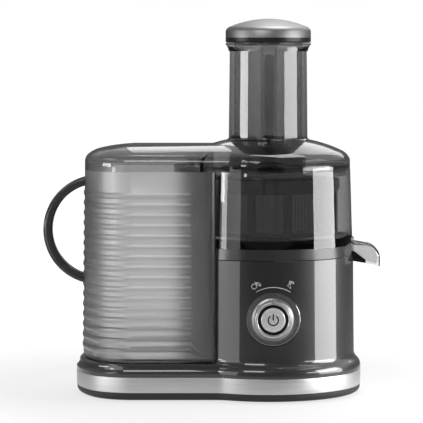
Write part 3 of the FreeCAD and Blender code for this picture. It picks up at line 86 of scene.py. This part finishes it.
class JuicerColours(bpy.types.PropertyGroup):
    """Colours of the finishes that show."""

    lacquer: tone("Lacquer", (0.027, 0.0275, 0.029), "Dark metallic grey of the motor housing")
    bowl_ring: tone("Bowl ring", (0.035, 0.036, 0.037), "Grey base ring of the bowl")
    steel: tone("Steel", (0.62, 0.62, 0.62), "Steel of the band and the grater disc")
    cap: tone("Cap", (0.33, 0.33, 0.33), "Steel of the pusher's cap")
    dial: tone("Dial", (0.92, 0.92, 0.92), "Metal of the selector ring")
    bezel: tone("Bezel", (0.6, 0.6, 0.61), "Metal of the dish about the selector ring")
    groove: tone("Groove", (0.03, 0.03, 0.03), "Spindle that shows between the selector ring and the button")
    silver: tone("Silver", (0.82, 0.82, 0.82), "Lacquer of the power button")
    # Painted shade: the filter's metal is coloured near black, far darker than steel, for the shade inside
    # the bowl.
    filter_mesh: tone("Filter", (0.1, 0.1, 0.1), "Mesh of the filter basket")
    handle: tone("Handle", (0.045, 0.045, 0.046), "Glossy handle of the bin")
    black: tone("Black", (0.012, 0.012, 0.012), "Black mouldings and dark signs")
    pan: tone("Pan", (0.03, 0.03, 0.031), "Base pan")
    sign: tone("Sign", (0.75, 0.75, 0.75), "Pale signs")


class JuicerTints(bpy.types.PropertyGroup):
    """Share of the light that one wall of each tinted piece lets through."""

    bin_clear: share("Bin", 0.75, "Light through the pulp bin's wall")
    lid_clear: share("Lid", 0.42, "Light through the lid's wall")
    tube_clear: share("Tube", 0.54, "Light through the feed tube's wall")
    pusher_clear: share("Pusher", 0.76, "Light through the pusher's wall")
    bowl_clear: share("Bowl", 0.55, "Light through the bowl's wall")
    spout_clear: share("Spout", 0.7, "Light through the spout's wall")


class JuicerSizes(bpy.types.PropertyGroup):
    """Sizes of the printed signs and of the studio."""

    symbol_radius: length("Power symbol", 6.1 * MM, "Radius of the power symbol")
    symbol_line: length("Power line", 1.5 * MM, "Line width of the power symbol")
    symbol_bar: length("Power bar", 6.6 * MM, "Length of the power symbol's bar")
    arc_radius: length("Speed arc", 35 * MM, "Radius of the speed arc about the dial")
    arc_half: FloatProperty(name="Speed arc half", description="Half of the angle that the speed arc spans",
                            subtype="ANGLE", min=0, max=math.pi, default=math.radians(32))
    sign_line: length("Sign line", 0.6 * MM, "Line width of the arc and the pictograms")
    sign_deep: length("Ink", 0.2 * MM, "Thickness of the printed signs, half of it above the surface")
    camera_far: length("Camera distance", 2.6, "Distance from the camera to the juicer")
    camera_high: length("Camera height", 0.378, "Height of the camera")
    aim_high: length("Aim height", 0.198, "Height that the camera looks at")
    lens: FloatProperty(name="Lens", description="Focal length of the camera in millimetres",
                        subtype="DISTANCE_CAMERA", min=10, default=202)


def colours():
    """The colours that the user has set."""
    return bpy.context.scene.juicer_colours


def tints():
    """The tints that the user has set."""
    return bpy.context.scene.juicer_tints


def sizes():
    """The sizes that the user has set."""
    return bpy.context.scene.juicer_sizes


# Most values of a noise lie between these two.
NOISE_LOW = 0.3
NOISE_HIGH = 0.7


class Nodes:
    """The nodes of a material or of the world, being made."""

    def __init__(self, owner):
        owner.use_nodes = True
        self.tree = owner.node_tree
        self.tree.nodes.clear()

    def add(self, kind, sockets=None):
        """A new node with its sockets set or linked."""
        node = self.tree.nodes.new(kind)
        for socket, value in (sockets or {}).items():
            if isinstance(value, bpy.types.NodeSocket):
                self.tree.links.new(value, node.inputs[socket])
            else:
                node.inputs[socket].default_value = value
        return node

    def combined(self, operation, first, second):
        """Two values put together by a mathematical operation."""
        node = self.add("ShaderNodeMath", {0: first, 1: second})
        node.operation = operation
        return node.outputs[0]

    def spread(self, value, low, high, start=NOISE_LOW, end=NOISE_HIGH):
        """A value between start and end, spread from low to high."""
        limits = {"Value": value, "From Min": start, "From Max": end, "To Min": low, "To Max": high}
        return self.add("ShaderNodeMapRange", limits).outputs[0]


class Finish(Nodes):
    """A material being made: its shader and the nodes that feed it."""

    def __init__(self, name, sockets):
        self.material = bpy.data.materials.new(name)
        super().__init__(self.material)
        self.shader = self.add("ShaderNodeBsdfPrincipled", sockets)
        self.output = self.add("ShaderNodeOutputMaterial", {"Surface": self.shader.outputs["BSDF"]})
        self.place = self.add("ShaderNodeTexCoord").outputs["Object"]

    def stretched(self, scale, middle=(0, 0, 0)):
        """Places moved to a middle and scaled along each axis."""
        shift = self.add("ShaderNodeVectorMath", {0: self.place, 1: tuple(-value for value in middle)})
        grown = self.add("ShaderNodeVectorMath", {0: shift.outputs[0], 1: scale})
        grown.operation = "MULTIPLY"
        return grown.outputs[0]

    def reach(self, place):
        """How far a place is from the origin."""
        node = self.add("ShaderNodeVectorMath", {0: place})
        node.operation = "LENGTH"
        return node.outputs["Value"]

    def noise(self, scale, detail=2, place=None):
        """A cloudy grey, finer with a larger scale."""
        grain = {"Vector": place or self.place, "Scale": scale, "Detail": detail}
        return self.add("ShaderNodeTexNoise", grain).outputs[0]

    def cells(self, scale):
        """A random grey for each small cell."""
        flakes = self.add("ShaderNodeTexVoronoi", {"Vector": self.place, "Scale": scale})
        grey = self.add("ShaderNodeSeparateColor", {"Color": flakes.outputs["Color"]})
        return grey.outputs[0]

    def tinted(self, value, colour, low, high):
        """A colour made darker and lighter by a value."""
        ramp = self.add("ShaderNodeValToRGB", {"Fac": value})
        stops = zip(ramp.color_ramp.elements, (NOISE_LOW, NOISE_HIGH), (low, high))
        for stop, position, strength in stops:
            stop.color = (*(min(channel * strength, 1) for channel in colour), 1)
            stop.position = position
        return ramp.outputs["Color"]

    def feed(self, socket, value):
        """Links a value to the shader."""
        self.tree.links.new(value, self.shader.inputs[socket])

    def bumped(self, height, strength, deep):
        """A bump of the surface, deep in metres."""
        relief = self.add("ShaderNodeBump", {"Height": height, "Strength": strength, "Distance": deep})
        self.feed("Normal", relief.outputs["Normal"])


def lacquer(name, colour):
    """Metallic paint with fine flakes under a clear coat."""
    finish = Finish(name, {"Metallic": 0.45, "Coat Weight": 1.0, "Coat Roughness": 0.03, "Coat IOR": 1.65})
    flakes = finish.cells(scale=2600)
    finish.feed("Base Color", finish.tinted(flakes, colour, low=0.8, high=1.25))
    finish.feed("Roughness", finish.spread(flakes, low=0.34, high=0.46))
    finish.bumped(finish.noise(scale=60, detail=3), strength=0.04, deep=0.4 * MM)
    return finish.material


# Grey of the absorption. The density makes up for it, so that a wall lets through just its share.
TINT = 0.9


def smoke(name, wall, clear, rough=0.0, haze=0.02, coat=0.0, relief=0.03):
    """Tinted clear plastic: one wall lets a share of the light through, and a longer way looks darker."""
    finish = Finish(name, {"Transmission Weight": 1.0, "IOR": 1.58, "Base Color": WHITE,
                           "Coat Weight": coat, "Coat Roughness": 0.28})
    finish.feed("Roughness", finish.spread(finish.noise(scale=90, detail=3), low=rough, high=rough + haze))
    finish.bumped(finish.noise(scale=40, detail=1), strength=relief, deep=0.4 * MM)
    density = -math.log(clear) / wall / (1 - TINT)
    tint = finish.add("ShaderNodeVolumeAbsorption", {"Color": (TINT, TINT, TINT, 1), "Density": density})
    finish.tree.links.new(tint.outputs[0], finish.output.inputs["Volume"])
    return finish.material


def moulding(name, colour, rough, grain=1400, relief=0.12):
    """Opaque plastic with a fine spark-eroded grain."""
    finish = Finish(name, {"Specular IOR Level": 0.45})
    texture = finish.noise(grain)
    finish.feed("Base Color", finish.tinted(finish.noise(scale=40), colour, low=0.85, high=1.15))
    finish.feed("Roughness", finish.spread(texture, low=rough - 0.05, high=rough + 0.05))
    finish.bumped(texture, strength=relief, deep=0.3 * MM)
    return finish.material


def rubber(name, colour):
    """Soft matt rubber."""
    finish = Finish(name, {"Specular IOR Level": 0.25})
    dust = finish.noise(scale=300, detail=4)
    finish.feed("Base Color", finish.tinted(dust, colour, low=0.75, high=1.4))
    finish.feed("Roughness", finish.spread(dust, low=0.7, high=0.9))
    finish.bumped(finish.noise(scale=900), strength=0.2, deep=0.3 * MM)
    return finish.material


def brushed(name, colour, scale, rough):
    """Metal brushed along the directions with a low scale."""
    finish = Finish(name, {"Metallic": 1.0})
    strokes = finish.noise(scale=1, detail=3, place=finish.stretched(scale))
    finish.feed("Base Color", finish.tinted(strokes, colour, low=0.86, high=1.12))
    finish.feed("Roughness", finish.spread(strokes, low=rough - 0.06, high=rough + 0.08))
    finish.bumped(strokes, strength=0.08, deep=0.2 * MM)
    return finish.material


def spun_metal(name, colour, rough, middle, rings, axis=UPRIGHT, edge=1.0, relief=0.06):
    """Metal turned on a lathe: fine rings about an axis, with the edges' reflection made paler or darker."""
    finish = Finish(name, {"Metallic": 1.0, "Specular Tint": (edge, edge, edge, 1)})
    apart = finish.reach(finish.stretched([1 - part for part in axis], middle))
    along = finish.reach(finish.stretched(axis, middle))
    spot = finish.add("ShaderNodeCombineXYZ", {"X": apart, "Y": along})
    grooves = finish.noise(rings, place=spot.outputs[0])
    finish.feed("Base Color", finish.tinted(grooves, colour, low=0.88, high=1.1))
    finish.feed("Roughness", finish.spread(grooves, low=rough - 0.05, high=rough + 0.07))
    finish.bumped(grooves, strength=relief, deep=0.2 * MM)
    return finish.material


def perforated(name, colour, pitch):
    """Sheet metal with rows of fine holes painted dark: painted shade in place of open holes."""
    finish = Finish(name, {"Metallic": 1.0})
    rows = {"Vector": finish.place, "Scale": 1 / pitch, "Randomness": 0.0}
    holes = finish.add("ShaderNodeTexVoronoi", rows).outputs["Distance"]
    # Painted shade: the colour falls almost to black in each hole, for the shade seen through it.
    rim = finish.spread(holes, low=0.05, high=1.0, start=0.24, end=0.3)
    finish.feed("Base Color", finish.tinted(rim, colour, low=0.05, high=1.0))
    finish.feed("Roughness", finish.spread(finish.noise(scale=500), low=0.3, high=0.45))
    finish.bumped(rim, strength=0.4, deep=0.3 * MM)
    return finish.material


def dress(material, *names):
    """Puts a finish on CAD nodes."""
    for name in names:
        for slot in frame["nodes"][name].material_slots:
            slot.material = material


def middle_of(name):
    """The middle of a CAD node's box."""
    return [(low + high) / 2 for low, high in zip(*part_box(name))]


def alone():
    """Leaves nothing selected, in object mode."""
    if bpy.context.object and bpy.context.object.mode != "OBJECT":
        bpy.ops.object.mode_set(mode="OBJECT")
    bpy.ops.object.select_all(action="DESELECT")


def activate(piece):
    """Leaves a piece alone selected and active, in object mode."""
    alone()
    piece.select_set(True)
    bpy.context.view_layer.objects.active = piece


def new_piece(name, mesh):
    """A new object in the scene, alone selected and in edit mode."""
    piece = bpy.data.objects.new(name, mesh)
    bpy.context.scene.collection.objects.link(piece)
    activate(piece)
    bpy.ops.object.mode_set(mode="EDIT")
    return piece


JOIN_REACH = 0.01 * MM
SMOOTH_ANGLE = math.radians(32)


def smooth_copy(name, material):
    """A copy of a CAD node with its triangles joined and shaded smooth, which stands for the node."""
    copy = new_piece(f"{name}_skin", frame["nodes"][name].data.copy())
    bpy.ops.mesh.select_all(action="SELECT")
    bpy.ops.mesh.remove_doubles(threshold=JOIN_REACH)
    bpy.ops.mesh.customdata_custom_splitnormals_clear()
    bpy.ops.object.mode_set(mode="OBJECT")
    bpy.ops.object.shade_smooth_by_angle(angle=SMOOTH_ANGLE)
    copy.data.materials.clear()
    copy.data.materials.append(material)
    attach(copy, BODY_OF[name])
    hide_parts(name)


class JUICER_OT_lacquer(bpy.types.Operator):
    """Paint the motor housing and the plateau"""

    bl_idname = "juicer.lacquer"
    bl_label = "Housing lacquer"

    def execute(self, context):
        paint = lacquer("dark_lacquer", colours().lacquer)
        for name in ("motor_housing", "bin_platform"):
            smooth_copy(name, paint)
        return {"FINISHED"}


class JUICER_OT_tinted_plastic(bpy.types.Operator):
    """Give the bin, lid, tube, pusher, bowl and spout their tinted plastic"""

    bl_idname = "juicer.tinted_plastic"
    bl_label = "Tinted plastic"

    def execute(self, context):
        walls = tints()
        smooth_copy("pulp_bin", smoke("bin_smoke", wall=2.2 * MM, clear=walls.bin_clear, rough=0.34,
                                      haze=0.03, coat=0.8, relief=0.005))
        smooth_copy("lid", smoke("lid_smoke", wall=2.6 * MM, clear=walls.lid_clear, rough=0.01))
        smooth_copy("feed_tube", smoke("tube_smoke", wall=3.0 * MM, clear=walls.tube_clear, rough=0.01))
        smooth_copy("pusher_body", smoke("pusher_smoke", wall=2.4 * MM, clear=walls.pusher_clear, haze=0.01))
        smooth_copy("juice_bowl", smoke("bowl_smoke", wall=2.6 * MM, clear=walls.bowl_clear))
        smooth_copy("juice_spout", smoke("spout_clear", wall=2.2 * MM, clear=walls.spout_clear))
        return {"FINISHED"}


SCREW_STEEL = (0.5, 0.5, 0.5)
SHAFT_STEEL = (0.6, 0.6, 0.6)


class JUICER_OT_metal(bpy.types.Operator):
    """Give the band, cap, dial, bezel, grater disc, filter, screws, shaft and bearings their metal"""

    bl_idname = "juicer.metal"
    bl_label = "Metal pieces"

    def execute(self, context):
        hues = colours()
        tower = middle_of("pusher_cap")
        polished = {"middle": middle_of("selector_ring"), "rings": 3000, "axis": LEVEL, "relief": 0.01}
        smooth_copy("trim_band", brushed("band_steel", hues.steel, scale=(14, 14, 2600), rough=0.42))
        smooth_copy("pusher_cap", spun_metal("cap_steel", hues.cap, rough=0.44, middle=tower, rings=2400,
                                             edge=0.45))
        smooth_copy("selector_ring", spun_metal("dial_metal", hues.dial, rough=0.29, **polished))
        smooth_copy("dial_bezel", spun_metal("bezel_metal", hues.bezel, rough=0.16, **polished))
        smooth_copy("grater_disc", spun_metal("disc_steel", hues.steel, rough=0.3, middle=tower, rings=2000))
        smooth_copy("filter_mesh", perforated("mesh_steel", hues.filter_mesh, pitch=1.6 * MM))
        dress(brushed("screw_steel", SCREW_STEEL, scale=(900, 900, 900), rough=0.35),
              "base_screws", "motor_screws")
        dress(spun_metal("shaft_steel", SHAFT_STEEL, rough=0.2, middle=tower, rings=2600),
              "motor_shaft", "upper_bearing", "lower_bearing")
        return {"FINISHED"}


FOOT_RUBBER = (0.02, 0.02, 0.02)


class JUICER_OT_black_mouldings(bpy.types.Operator):
    """Give the mouldings their plastic, the feet and the seal their rubber and the button its lacquer"""

    bl_idname = "juicer.black_mouldings"
    bl_label = "Black mouldings"

    def execute(self, context):
        hues = colours()
        gloss = moulding("handle_gloss", hues.handle, rough=0.12, grain=700, relief=0.03)
        satin = moulding("basket_black", hues.black, rough=0.32)
        smooth_copy("bottom_pan", moulding("pan_grain", hues.pan, rough=0.55))
        smooth_copy("bin_handle", gloss)
        for name in ("basket_frame", "basket_hub"):
            smooth_copy(name, satin)
        smooth_copy("pusher_ring", moulding("pusher_black", hues.black, rough=0.3))
        smooth_copy("bowl_base", moulding("bowl_ring_grey", hues.bowl_ring, rough=0.22, grain=900,
                                          relief=0.04))
        smooth_copy("power_button", lacquer("button_silver", hues.silver))
        dress(moulding("dial_black", hues.groove, rough=0.35), "dial_spindle")
        dress(rubber("foot_rubber", FOOT_RUBBER), "rubber_feet", "shaft_seal")
        dress(moulding("inlet_black", hues.black, rough=0.45), "cord_gland", "drive_coupling")
        return {"FINISHED"}


INNER_BLACK = (0.02, 0.02, 0.02)
SHEET_IRON = (0.22, 0.22, 0.23)
COPPER = (0.55, 0.24, 0.10)
CAST_METAL = (0.45, 0.45, 0.46)
BOARD_GREEN = (0.01, 0.09, 0.03)


class JUICER_OT_motor(bpy.types.Operator):
    """Give the pieces inside the housing their finishes"""

    bl_idname = "juicer.motor"
    bl_label = "Motor and switches"

    def execute(self, context):
        dress(moulding("inner_black", INNER_BLACK, rough=0.5),
              "cooling_fan", "selector_switch", "power_switch", "carbon_brushes")
        dress(brushed("sheet_iron", SHEET_IRON, scale=(60, 60, 1800), rough=0.5),
              "motor_stator", "rotor_core")
        dress(brushed("copper_wire", COPPER, scale=(700, 700, 2400), rough=0.35),
              "field_coils", "rotor_windings", "commutator")
        dress(moulding("cast_bracket", CAST_METAL, rough=0.5, grain=800, relief=0.3),
              "upper_motor_bracket", "lower_motor_bracket")
        dress(moulding("board_green", BOARD_GREEN, rough=0.3), "control_board")
        return {"FINISHED"}


# Signs are drawn in this plane, well in front of the juicer, and then laid on it. A vertex that stays
# within the clearance of the plane has missed its piece.
SIGN_PLANE = -130 * MM
SIGN_CLEAR = 5 * MM
# Ways across and up from the dial's middle, in millimetres.
POINTER_WAY = (0, 18)
FRUIT_WAY = (-18.6, 36.2)
ROOT_WAY = (17.8, 37.2)
# Places of the lock marks on the lid's lip and on the bowl.
LID_LOCK_SPOT = Vector((34.0 * MM, SIGN_PLANE, 253.6 * MM))
BOWL_MARK_SPOT = Vector((36.0 * MM, SIGN_PLANE, 242.5 * MM))


def ring(steps, radius, line, spot, squash=(1, 1), turn=0.0):
    """In edit mode, adds a flat ring that faces the front, squashed along X and Z and then turned."""
    bpy.ops.mesh.select_all(action="DESELECT")
    bpy.ops.mesh.primitive_circle_add(vertices=steps, radius=radius, fill_type="NOTHING", location=spot,
                                      rotation=(math.pi / 2, 0, 0))
    bpy.ops.transform.resize(value=(squash[0], 1, squash[1]), center_override=spot)
    bpy.ops.transform.rotate(value=turn, orient_axis="Y", center_override=spot)
    bpy.ops.mesh.extrude_edges_move()
    inner = 1 - line / (radius * min(squash))
    bpy.ops.transform.resize(value=(inner, 1, inner), center_override=spot)


def bar(wide, tall, spot, turn=0.0):
    """In edit mode, adds a flat bar that faces the front, cut into short lengths."""
    bpy.ops.mesh.select_all(action="DESELECT")
    bpy.ops.mesh.primitive_plane_add(size=1, location=spot, rotation=(math.pi / 2, 0, 0))
    bpy.ops.transform.resize(value=(wide, 1, tall), center_override=spot)
    bpy.ops.transform.rotate(value=turn, orient_axis="Y", center_override=spot)
    bpy.ops.mesh.subdivide(number_cuts=4)


def erase(wanted):
    """In edit mode, deletes the vertices whose place is wanted."""
    form = bmesh.from_edit_mesh(bpy.context.object.data)
    for vertex in form.verts:
        vertex.select_set(wanted(vertex.co))
    form.select_flush_mode()
    bmesh.update_edit_mesh(bpy.context.object.data)
    bpy.ops.mesh.delete(type="VERT")


def printed(name, node, ink, draw):
    """A sign drawn in front of a piece, laid on its surface and given the thickness of the ink."""
    sign = new_piece(name, bpy.data.meshes.new(name))
    draw()
    bpy.ops.object.mode_set(mode="OBJECT")
    laid = sign.modifiers.new("laid", "SHRINKWRAP")
    laid.target = bpy.data.objects[f"{node}_skin"]
    laid.wrap_method = "PROJECT"
    laid.use_project_y = True
    bpy.ops.object.modifier_apply(modifier=laid.name)
    if any(vertex.co.y < SIGN_PLANE + SIGN_CLEAR for vertex in sign.data.vertices):
        raise RuntimeError(f"a part of {name} misses {node}")
    thick = sign.modifiers.new("thick", "SOLIDIFY")
    thick.thickness = sizes().sign_deep
    thick.offset = 0
    bpy.ops.object.modifier_apply(modifier=thick.name)
    bpy.ops.object.mode_set(mode="EDIT")
    bpy.ops.mesh.select_all(action="SELECT")
    bpy.ops.mesh.normals_make_consistent(inside=False)
    bpy.ops.object.mode_set(mode="OBJECT")
    sign.data.materials.append(ink)
    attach(sign, BODY_OF[node])


def step(across, up):
    """A way across and up a sign's plane, given in millimetres."""
    return Vector((across, 0, up)) * MM


class JUICER_OT_signs(bpy.types.Operator):
    """Print the power symbol, the dial's pointer, the speed arc, the two pictograms and the lock marks"""

    bl_idname = "juicer.signs"
    bl_label = "Printed signs"

    def dial_middle(self):
        """The dial's middle in the signs' plane."""
        across, _, up = middle_of("power_button")
        return Vector((across, SIGN_PLANE, up))

    def power(self):
        """A ring that is open at the top, with a bar in the gap."""
        size = sizes()
        spot = self.dial_middle()
        half_gap = size.symbol_line * 1.6
        overlap = 0.6 * MM
        ring(steps=72, radius=size.symbol_radius, line=size.symbol_line, spot=spot)
        erase(lambda place: place.z > spot.z and abs(place.x - spot.x) < half_gap)
        lift = size.symbol_radius + overlap - size.symbol_bar / 2
        bar(wide=size.symbol_line, tall=size.symbol_bar, spot=spot + Vector((0, 0, lift)))

    def pointer(self):
        """A short upright line on top of the selector ring."""
        bar(wide=0.7 * MM, tall=2.0 * MM, spot=self.dial_middle() + step(*POINTER_WAY))

    def arc(self):
        """The arc above the dial, cut out of a ring."""
        size = sizes()
        spot = self.dial_middle()
        ring(steps=240, radius=size.arc_radius, line=size.sign_line, spot=spot)
        erase(lambda place: (place - spot).angle(Vector(UPRIGHT)) > size.arc_half)

    def soft_fruit(self):
        """A round fruit with a stalk and a leaf."""
        line = sizes().sign_line
        spot = self.dial_middle() + step(*FRUIT_WAY)
        ring(steps=40, radius=2.9 * MM, line=line, spot=spot + step(-1.6, -0.6))
        ring(steps=28, radius=3.0 * MM, line=line, spot=spot + step(3.0, 1.9), squash=(1, 0.5),
             turn=math.radians(-30))
        bar(wide=line, tall=2.4 * MM, spot=spot + step(-0.4, 3.2), turn=math.radians(25))

    def hard_root(self):
        """A tapered root with two leaves."""
        line = sizes().sign_line
        spot = self.dial_middle() + step(*ROOT_WAY)
        ring(steps=3, radius=3.6 * MM, line=line, spot=spot + step(-0.4, -1.2), squash=(0.7, 1),
             turn=math.radians(205))
        for side in (-1, 1):
            ring(steps=24, radius=1.9 * MM, line=line * 0.8, spot=spot + step(1.4 + 1.4 * side, 2.4),
                 squash=(0.55, 1), turn=math.radians(25 + 34 * side))

    def lid_lock(self):
        """A closed padlock on the lid's lip."""
        spot = LID_LOCK_SPOT
        gap_half = 2.2 * MM
        gap_low = 0.2 * MM
        gap_high = 1.9 * MM
        bar(wide=5.2 * MM, tall=3.6 * MM, spot=spot)
        ring(steps=36, radius=2.1 * MM, line=sizes().sign_line, spot=spot + step(0, 2.4), squash=(0.85, 1.2))
        erase(lambda place: abs(place.x - spot.x) < gap_half and gap_low < place.z - spot.z < gap_high)

    def bowl_mark(self):
        """A block on the bowl, below the padlock."""
        bar(wide=2.6 * MM, tall=3.4 * MM, spot=BOWL_MARK_SPOT)

    def execute(self, context):
        hues = colours()
        pale = moulding("sign_pale", hues.sign, rough=0.5, grain=2000, relief=0.05)
        dark = moulding("sign_dark", hues.black, rough=0.5, grain=2000, relief=0.05)
        printed("power_symbol", "power_button", dark, self.power)
        printed("dial_pointer", "selector_ring", dark, self.pointer)
        printed("speed_arc", "motor_housing", pale, self.arc)
        printed("soft_fruit_sign", "motor_housing", pale, self.soft_fruit)
        printed("hard_root_sign", "motor_housing", pale, self.hard_root)
        printed("lid_lock_sign", "lid", pale, self.lid_lock)
        printed("bowl_lock_mark", "juice_bowl", pale, self.bowl_mark)
        return {"FINISHED"}


FLOOR_WIDE = 14
# The floor lies a little below the feet, so that no two faces share a plane.
FLOOR_DROP = 0.4 * MM
FLOOR_GREY = (0.22, 0.22, 0.22)
# Glow of the white card that gloss mirrors, and of the dim room about it.
CARD = 0.85
DIM = 0.13
SENSOR_WIDE = 36

# Upright lights: name, start and end in plan, lower and upper edge, glow. Places are in metres.
SIDE_LIGHTS = (
    ("right_low", (0.451, -0.247), (0.505, 0.021), 0.006, 0.127, 6),
    ("right_middle", (0.451, -0.247), (0.505, 0.021), 0.127, 0.28, 9),
    ("right_high", (0.382, -0.299), (0.492, -0.008), 0.43, 0.62, 1.8),
    ("right_far", (0.96, -0.837), (1.29, 0.036), 0.25, 0.4, 8),
    ("left_low", (-0.285, -0.474), (-0.504, -0.164), 0.0, 0.28, 1.5),
    ("left_middle", (-0.386, -0.316), (-0.426, -0.259), 0.135, 0.245, 6),
    ("left_high", (-0.37, -0.222), (-0.418, -0.006), 0.43, 0.62, 1.8),
    ("left_far", (-3.97, -2.04), (-4.45, 0.12), 0.165, 0.48, 9.5),
    ("back_card", (-0.22, 2.0), (1.7, 2.0), 1.0, 5.0, 1.7),
)
# Lights from above: name, place, aim, width, depth, glow.
TOP_LIGHTS = (
    ("roof_light", (0.25, 0.15, 1.4), (0.1, 0.0, 0.2), 0.7, 0.6, 5),
    ("rib_light", (-0.24, -0.8, 0.75), (-0.1, 0.0, 0.15), 0.44, 0.3, 5),
)


class JUICER_OT_stage(bpy.types.Operator):
    """Build the pale floor, the soft lights, the white surroundings and the camera"""

    bl_idname = "juicer.stage"
    bl_label = "Studio"

    def floor(self):
        """A grey floor that keeps the shadow and glows where it is seen or mirrored: seen straight, it glows
        less near the juicer, a painted shade about it, and in gloss it glows only near the juicer, a painted
        reflection.
        """
        alone()
        bpy.ops.mesh.primitive_plane_add(size=FLOOR_WIDE, location=(0, 0, -FLOOR_DROP))
        floor = bpy.context.object
        floor.name = "studio_floor"
        paint = Finish("floor_pale", {"Roughness": 0.9, "Specular IOR Level": 0.1})
        paint.feed("Base Color", paint.tinted(paint.noise(scale=3), FLOOR_GREY, low=0.99, high=1.01))
        away = paint.reach(paint.place)
        path = paint.add("ShaderNodeLightPath").outputs
        straight = paint.combined("MAXIMUM", path["Is Camera Ray"], path["Is Transmission Ray"])
        # Painted shade: seen straight or through plastic, the floor glows less near the juicer than far
        # away.
        white = paint.spread(away, low=0.72, high=1.0, start=0.25, end=0.7)
        seen = paint.combined("MULTIPLY", straight, white)
        # Painted reflection: in gloss the floor glows only near the juicer.
        near = paint.spread(away, low=0.55, high=0.0, start=0.27, end=0.45)
        mirrored = paint.combined("MULTIPLY", path["Is Glossy Ray"], near)
        strength = paint.combined("ADD", seen, mirrored)
        glow = paint.add("ShaderNodeEmission", {"Color": WHITE, "Strength": strength})
        both = paint.add("ShaderNodeAddShader", {0: paint.shader.outputs[0], 1: glow.outputs[0]})
        paint.tree.links.new(both.outputs[0], paint.output.inputs["Surface"])
        floor.data.materials.append(paint.material)

    def surroundings(self):
        """White for what is seen straight or through plastic, and for a card behind that gloss mirrors."""
        world = bpy.data.worlds.new("studio_white")
        bpy.context.scene.world = world
        air = Nodes(world)
        path = air.add("ShaderNodeLightPath").outputs
        straight = air.combined("MAXIMUM", path["Is Camera Ray"], path["Is Transmission Ray"])
        sky = air.add("ShaderNodeTexCoord").outputs["Generated"]
        way = air.add("ShaderNodeSeparateXYZ", {0: sky}).outputs
        behind = air.spread(way["Y"], low=0.0, high=CARD, start=-0.2, end=0.05)
        above = air.spread(way["Z"], low=0.0, high=1.0, start=0.2, end=0.4)
        beside = air.spread(way["X"], low=0.35, high=1.0, start=-0.6, end=-0.1)
        upper = air.combined("MULTIPLY", behind, above)
        mirrored = air.combined("MULTIPLY", beside, path["Is Glossy Ray"])
        card = air.combined("MULTIPLY", upper, mirrored)
        glow = air.combined("MAXIMUM", air.combined("MAXIMUM", straight, card), DIM)
        light = air.add("ShaderNodeBackground", {"Color": WHITE, "Strength": glow})
        air.add("ShaderNodeOutputWorld", {"Surface": light.outputs[0]})

    def stand(self, name, data, spot, facing):
        """A new light or camera at a spot, which looks the way that it faces."""
        thing = bpy.data.objects.new(name, data)
        bpy.context.scene.collection.objects.link(thing)
        thing.location = spot
        thing.rotation_mode = "QUATERNION"
        thing.rotation_quaternion = facing.to_track_quat("-Z", "Y")
        return thing

    def area_light(self, name, spot, facing, wide, tall, glow):
        """A soft light that shows only in what it lights and in gloss."""
        lamp = bpy.data.lights.new(name, "AREA")
        lamp.shape = "RECTANGLE"
        lamp.size = wide
        lamp.size_y = tall
        lamp.energy = glow * math.pi * wide * tall
        box = self.stand(name, lamp, spot, facing)
        box.visible_camera = False
        box.visible_transmission = False

    def side_light(self, name, start, end, low, high, glow):
        """An upright light between two places of the plan, which faces the juicer."""
        start = Vector((*start, 0))
        end = Vector((*end, 0))
        across = end - start
        spot = (start + end) / 2 + Vector((0, 0, (low + high) / 2))
        facing = across.cross(Vector(UPRIGHT))
        if facing.dot(spot) > 0:
            facing.negate()
        self.area_light(name, spot, facing, across.length, high - low, glow)

    def camera(self):
        """The camera, placed for the photograph's view."""
        size = sizes()
        lens = bpy.data.cameras.new("photo_camera")
        lens.lens = size.lens
        lens.sensor_width = SENSOR_WIDE
        lens.sensor_fit = "HORIZONTAL"
        spot = Vector((0, -size.camera_far, size.camera_high))
        facing = Vector((0, 0, size.aim_high)) - spot
        bpy.context.scene.camera = self.stand("photo_camera", lens, spot, facing)

    def execute(self, context):
        self.floor()
        self.surroundings()
        for light in SIDE_LIGHTS:
            self.side_light(*light)
        for name, spot, aim, wide, deep, glow in TOP_LIGHTS:
            self.area_light(name, spot, Vector(aim) - Vector(spot), wide, deep, glow)
        self.camera()
        context.scene.view_settings.view_transform = "Standard"
        return {"FINISHED"}


MAKERS = (
    JUICER_OT_lacquer,
    JUICER_OT_tinted_plastic,
    JUICER_OT_metal,
    JUICER_OT_black_mouldings,
    JUICER_OT_motor,
    JUICER_OT_signs,
    JUICER_OT_stage,
)


class JUICER_PT_finishes(bpy.types.Panel):
    """Sidebar list of the juicer's finishes and pieces"""

    bl_idname = "JUICER_PT_finishes"
    bl_label = "Juicer finishes"
    bl_space_type = "VIEW_3D"
    bl_region_type = "UI"
    bl_category = "Juicer"

    def draw(self, context):
        column = self.layout.column()
        for maker in MAKERS:
            column.operator(maker.bl_idname)
        for group in (colours(), tints(), sizes()):
            for name in group.__annotations__:
                column.prop(group, name)


CLASSES = (JuicerColours, JuicerTints, JuicerSizes, *MAKERS, JUICER_PT_finishes)


def register():
    """Registers the classes and puts the settings on the scene."""
    for kind in CLASSES:
        bpy.utils.register_class(kind)
    bpy.types.Scene.juicer_colours = PointerProperty(type=JuicerColours)
    bpy.types.Scene.juicer_tints = PointerProperty(type=JuicerTints)
    bpy.types.Scene.juicer_sizes = PointerProperty(type=JuicerSizes)


def unregister():
    """Takes the settings off the scene and unregisters the classes."""
    del bpy.types.Scene.juicer_sizes
    del bpy.types.Scene.juicer_tints
    del bpy.types.Scene.juicer_colours
    for kind in reversed(CLASSES):
        bpy.utils.unregister_class(kind)


def main():
    """Makes every finish and piece."""
    register()
    for maker in MAKERS:
        family, action = maker.bl_idname.split(".")
        getattr(getattr(bpy.ops, family), action)()


if __name__ == "__main__":
    main()
